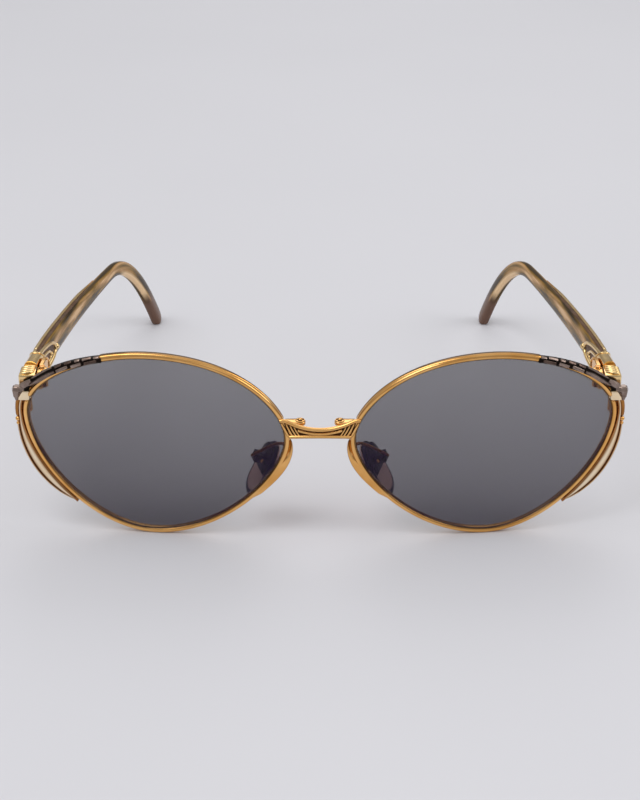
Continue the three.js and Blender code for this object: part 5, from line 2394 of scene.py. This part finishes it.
@dataclass
class NosePad:
    """Rocking nose pad with its dark plate, and the wire arm that carries it."""

    middle: Triple = (13.8, -54.659, 13.909)
    lean: float = -28.0
    splay: float = -20.0
    length: float = 16.5
    width: float = 8.0
    thickness: float = 1.7
    plate_width: float = 6.4
    plate_length: float = 8.5
    plate_thickness: float = 0.45
    plate_raised: float = 1.3
    plate_gap: float = 0.06
    plate_edge: float = 0.12
    plate_shares: Triple = (0.96, 1.0, 0.93)
    pivot_up: float = 3.2
    lug_end: float = 3.12
    lug_width: float = 1.4
    lug_height: float = 1.7
    lug_edge: float = 0.25
    arm_radius: float = 0.42
    arm_root: Triple = (8.3, -60.5, 23.4)
    arm_lead: Triple = (0.2, 2.6, 1.2)
    arm_over: Span = (-1.2, 1.4)
    arm_end: Span = (0.4, -0.4)
    box_start: float = 1.77
    box_floor: float = 4.04
    box_half: float = 1.27
    box_height: float = 2.2
    box_wall: float = 0.45
    box_edge: float = 0.14
    pillow_front: Pairs = ((-1.0, 0.5), (-1.0, 0.84), (-0.8, 0.93), (-0.4, 0.98))
    pillow_back: Pairs = ((0.0, 1.0), (0.4, 0.98), (0.8, 0.92), (1.0, 0.84), (1.0, 0.5))
    stand: Matrix = field(default_factory=Matrix)

    def __post_init__(self) -> None:
        """Lay out where the pad stands."""
        lean = Matrix.Rotation(radians(self.lean), 4, "Y")
        turn = lean @ Matrix.Rotation(radians(self.splay), 4, "Z")
        self.stand = Matrix.Translation(self.middle) @ turn

    def outline(self, count: int) -> Section:
        """Points round the pad's drop-shaped outline.

        Args:
            count: how many points.

        Returns:
            Pairs of distance across and up.
        """
        a = self.width / 2
        b = self.length / 2
        curves = [
            [(0.0, b), (-a * 1.15, b), (-a * 1.15, -b * 0.2), (-a * 0.9, -b * 0.6)],
            [(-a * 0.9, -b * 0.6), (-a * 0.6, -b * 1.03), (a * 0.6, -b * 1.03), (a * 0.9, -b * 0.6)],
            [(a * 0.9, -b * 0.6), (a * 1.15, -b * 0.2), (a * 1.15, b), (0.0, b)],
        ]
        points = []
        for curve in curves:
            corners = [Vector(pair) for pair in curve]
            for i in range(count // 3):
                place = Eye.bezier(corners, 3 * i / count)
                points.append((place.x, place.y))
        return points

    def pad(self) -> Piece:
        """Pillowed pad, flat on its bearing face.

        Returns:
            The pad.
        """
        half = self.thickness / 2
        points = self.outline(48)
        rings = []
        for level, share in (*self.pillow_front, *self.pillow_back):
            rings.append([self.stand @ Vector((half * level, y * share, z * share)) for y, z in points])
        piece = sweep("nose_pad_pillow", rings, rounding=1)
        self.mark_painted_outline(piece)
        return piece

    def mark_painted_outline(self, piece: Piece) -> None:
        """Keep on each corner of the pad's back how near it is to the outline, for a painted dark ring of
        shade round its edge.

        Args:
            piece: the pad.
        """
        points = [Vector(point) for point in self.outline(96)]
        back = self.stand.inverted()
        marks = piece.data.attributes.new(PAINTED_SHADE_MARK, "FLOAT", "POINT")
        for corner, mark in zip(piece.data.vertices, marks.data):
            place = back @ (corner.co / MM)
            nearest = max(points, key=lambda point: point.normalized().dot(place.yz))
            mark.value = place.yz.length / nearest.length if place.x > 0.0 else 0.0

    def plate(self) -> Piece:
        """Dark plate on the pad's back with the lug that it rocks on.

        Returns:
            The plate with its lug.
        """
        half = self.plate_width / 2
        reach = self.plate_length / 2
        inner = self.thickness / 2 + self.plate_gap
        low = self.plate_raised - reach
        outline = [(-half, low), (half, low), (half, reach - half)]
        for turn in shares(13, 10.0, 170.0):
            angle = radians(turn)
            outline.append((half * cos(angle), reach - half + half * sin(angle)))
        outline.append((-half, reach - half))
        first, full, last = self.plate_shares
        outer = inner + self.plate_thickness
        edge = self.plate_edge
        rings = []
        for x, share in ((inner, first), (inner + edge, full), (outer - edge, full), (outer, last)):
            up = self.pivot_up
            rings.append([self.stand @ Vector((x, y * share, up + z * share)) for y, z in outline])
        sheet = sweep("pad_sheet", rings, degrees=30.0)
        place = self.stand @ Matrix.Translation(((inner + self.lug_end) / 2, 0.0, self.pivot_up))
        size = (self.lug_end - inner, self.lug_width, self.lug_height)
        lug = block("pad_lug", size, self.lug_edge, place)
        return join("pad_plate_dark", [sheet, lug])

    def box(self) -> Piece:
        """Open box that straddles the plate's lug.

        Returns:
            The box.
        """
        depth = self.box_floor - self.box_start
        middle = self.stand @ Matrix.Translation((self.box_floor, 0.0, self.pivot_up))
        wall = self.box_wall
        floor_place = middle @ Matrix.Translation((-wall / 2, 0.0, 0.0))
        floor_size = (wall, 2 * self.box_half, self.box_height)
        parts = [block("box_floor", floor_size, self.box_edge, floor_place)]
        for side in (-1, 1):
            place = Matrix.Translation((-depth / 2, side * (self.box_half - wall / 2), 0.0))
            parts.append(block("box_cheek", (depth, wall, self.box_height), self.box_edge, middle @ place))
        return join("pad_box_channel", parts)

    def arm(self) -> Piece:
        """Wire from the back of the rim to the box, laid along the box's floor.

        Returns:
            The wire.
        """
        root = Vector(self.arm_root)
        floor = self.box_floor + self.arm_radius
        corners = [root, root + Vector(self.arm_lead)]
        for aside, up in (self.arm_over, self.arm_end):
            corners.append(self.stand @ Vector((floor, aside, self.pivot_up + up)))
        path = [Eye.bezier(corners, t) for t in shares(20)]
        return wire("pad_arm_wire", path, self.arm_radius)

    def build(self) -> None:
        """Model the pad and put it on both sides."""
        put_on_pair(self.pad(), Palette.PAD, "nose_pad", carrier=Carrier.PAD, slot=Slot.PAD)
        put_on_pair(self.plate(), Palette.PLATE, "pad_plate", carrier=Carrier.PAD)
        put_on_pair(self.box(), Palette.PLATE, "pad_box")
        # The arm wears the darker copy of the gold: painted shade.
        put_on_pair(self.arm(), Palette.SHADED_GOLD, "pad_arm")


@dataclass
class SmallSolids:
    """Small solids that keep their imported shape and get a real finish."""

    nodes: tuple[str, ...] = ("lock_screw", "hinge_screw", "pad_screw")

    def build(self) -> None:
        """Dress the solids of both sides."""
        for side in Side:
            for node in self.nodes:
                piece = bpy.data.objects[f"{side.value}_{node}"]
                dress(piece, Palette.GOLD)
                LOG.info("%s keeps its solid", piece.name)


@dataclass
class Studio:
    """Pale floor, soft light and the photograph's camera."""

    elevation: float = 27.0
    distance: float = 400.0
    aim: Triple = (0.0, -63.68, 37.16)
    focal: float = 78.66
    lamp_aim: Triple = (0.0, -0.02, 0.02)
    floor_size: float = 6.0
    sky_low: Colour = (0.42, 0.42, 0.43)
    sky_high: Colour = (1.0, 1.0, 0.99)
    sky_full: float = 0.8
    sky_strength: float = 0.7

    def floor(self) -> None:
        """Plain pale floor."""
        clear_selection()
        bpy.ops.mesh.primitive_plane_add(size=self.floor_size)
        floor = named("floor")
        dress(floor, Palette.FLOOR)

    def light(self, name: str, place: Sequence[float], size: float, power: float) -> None:
        """Soft square lamp aimed at the glasses.

        Args:
            name: its name.
            place: where it hangs, in metres.
            size: its side, in metres.
            power: its power in watts.
        """
        lamp = bpy.data.lights.new(name, "AREA")
        lamp.energy = power
        lamp.size = size
        holder = bpy.data.objects.new(name, lamp)
        holder.location = place
        aim = Vector(self.lamp_aim) - Vector(place)
        holder.rotation_euler = aim.to_track_quat("-Z", "Y").to_euler()
        bpy.context.scene.collection.objects.link(holder)

    def sky(self) -> None:
        """Soft sky, brighter overhead than at the horizon."""
        world = bpy.data.worlds.new("studio")
        world.use_nodes = True
        bpy.context.scene.world = world
        nodes = Nodes(world.node_tree)
        background = world.node_tree.nodes["Background"]
        rise = nodes.axis(nodes.add("ShaderNodeTexCoord").outputs["Generated"], "Z")
        height = nodes.add("ShaderNodeMapRange", Value=rise, From_Max=self.sky_full)
        height.interpolation_type = "SMOOTHSTEP"
        tone = nodes.mixed(height.outputs["Result"], self.sky_low, self.sky_high)
        nodes.join(tone, background.inputs["Color"])
        background.inputs["Strength"].default_value = self.sky_strength

    def camera(self) -> None:
        """Camera at the photograph's angle."""
        data = bpy.data.cameras.new("camera")
        data.lens = self.focal
        data.clip_start = 0.01
        data.clip_end = 20.0
        camera = bpy.data.objects.new("camera", data)
        angle = radians(self.elevation)
        away = Vector((0.0, -cos(angle), sin(angle)))
        camera.location = (Vector(self.aim) + away * self.distance) * MM
        camera.rotation_euler = (radians(90.0 - self.elevation), 0.0, 0.0)
        bpy.context.scene.collection.objects.link(camera)
        bpy.context.scene.camera = camera

    def build(self) -> None:
        """Set the stage."""
        self.floor()
        self.light("key_lamp", (-0.35, -0.25, 0.75), 0.5, 2.2)
        self.light("side_lamp", (0.6, -0.15, 0.45), 0.4, 1.3)
        self.light("back_lamp", (0.05, 0.6, 0.6), 0.6, 1.2)
        self.sky()
        self.camera()
        bpy.context.scene.view_settings.view_transform = "Standard"


def main() -> None:
    """Build the sub-assemblies in order and set the stage."""
    logging.basicConfig(level=logging.INFO, format="%(message)s")
    eye = Eye()
    for part in (
        RimAndLens(eye),
        BrowLine(eye),
        SideBars(eye),
        NoseFlange(eye),
        Bridge(),
        HingeCorner(eye),
        Temple(),
        NosePad(),
        SmallSolids(),
        Studio(),
    ):
        part.build()


if __name__ == "__main__":
    main()
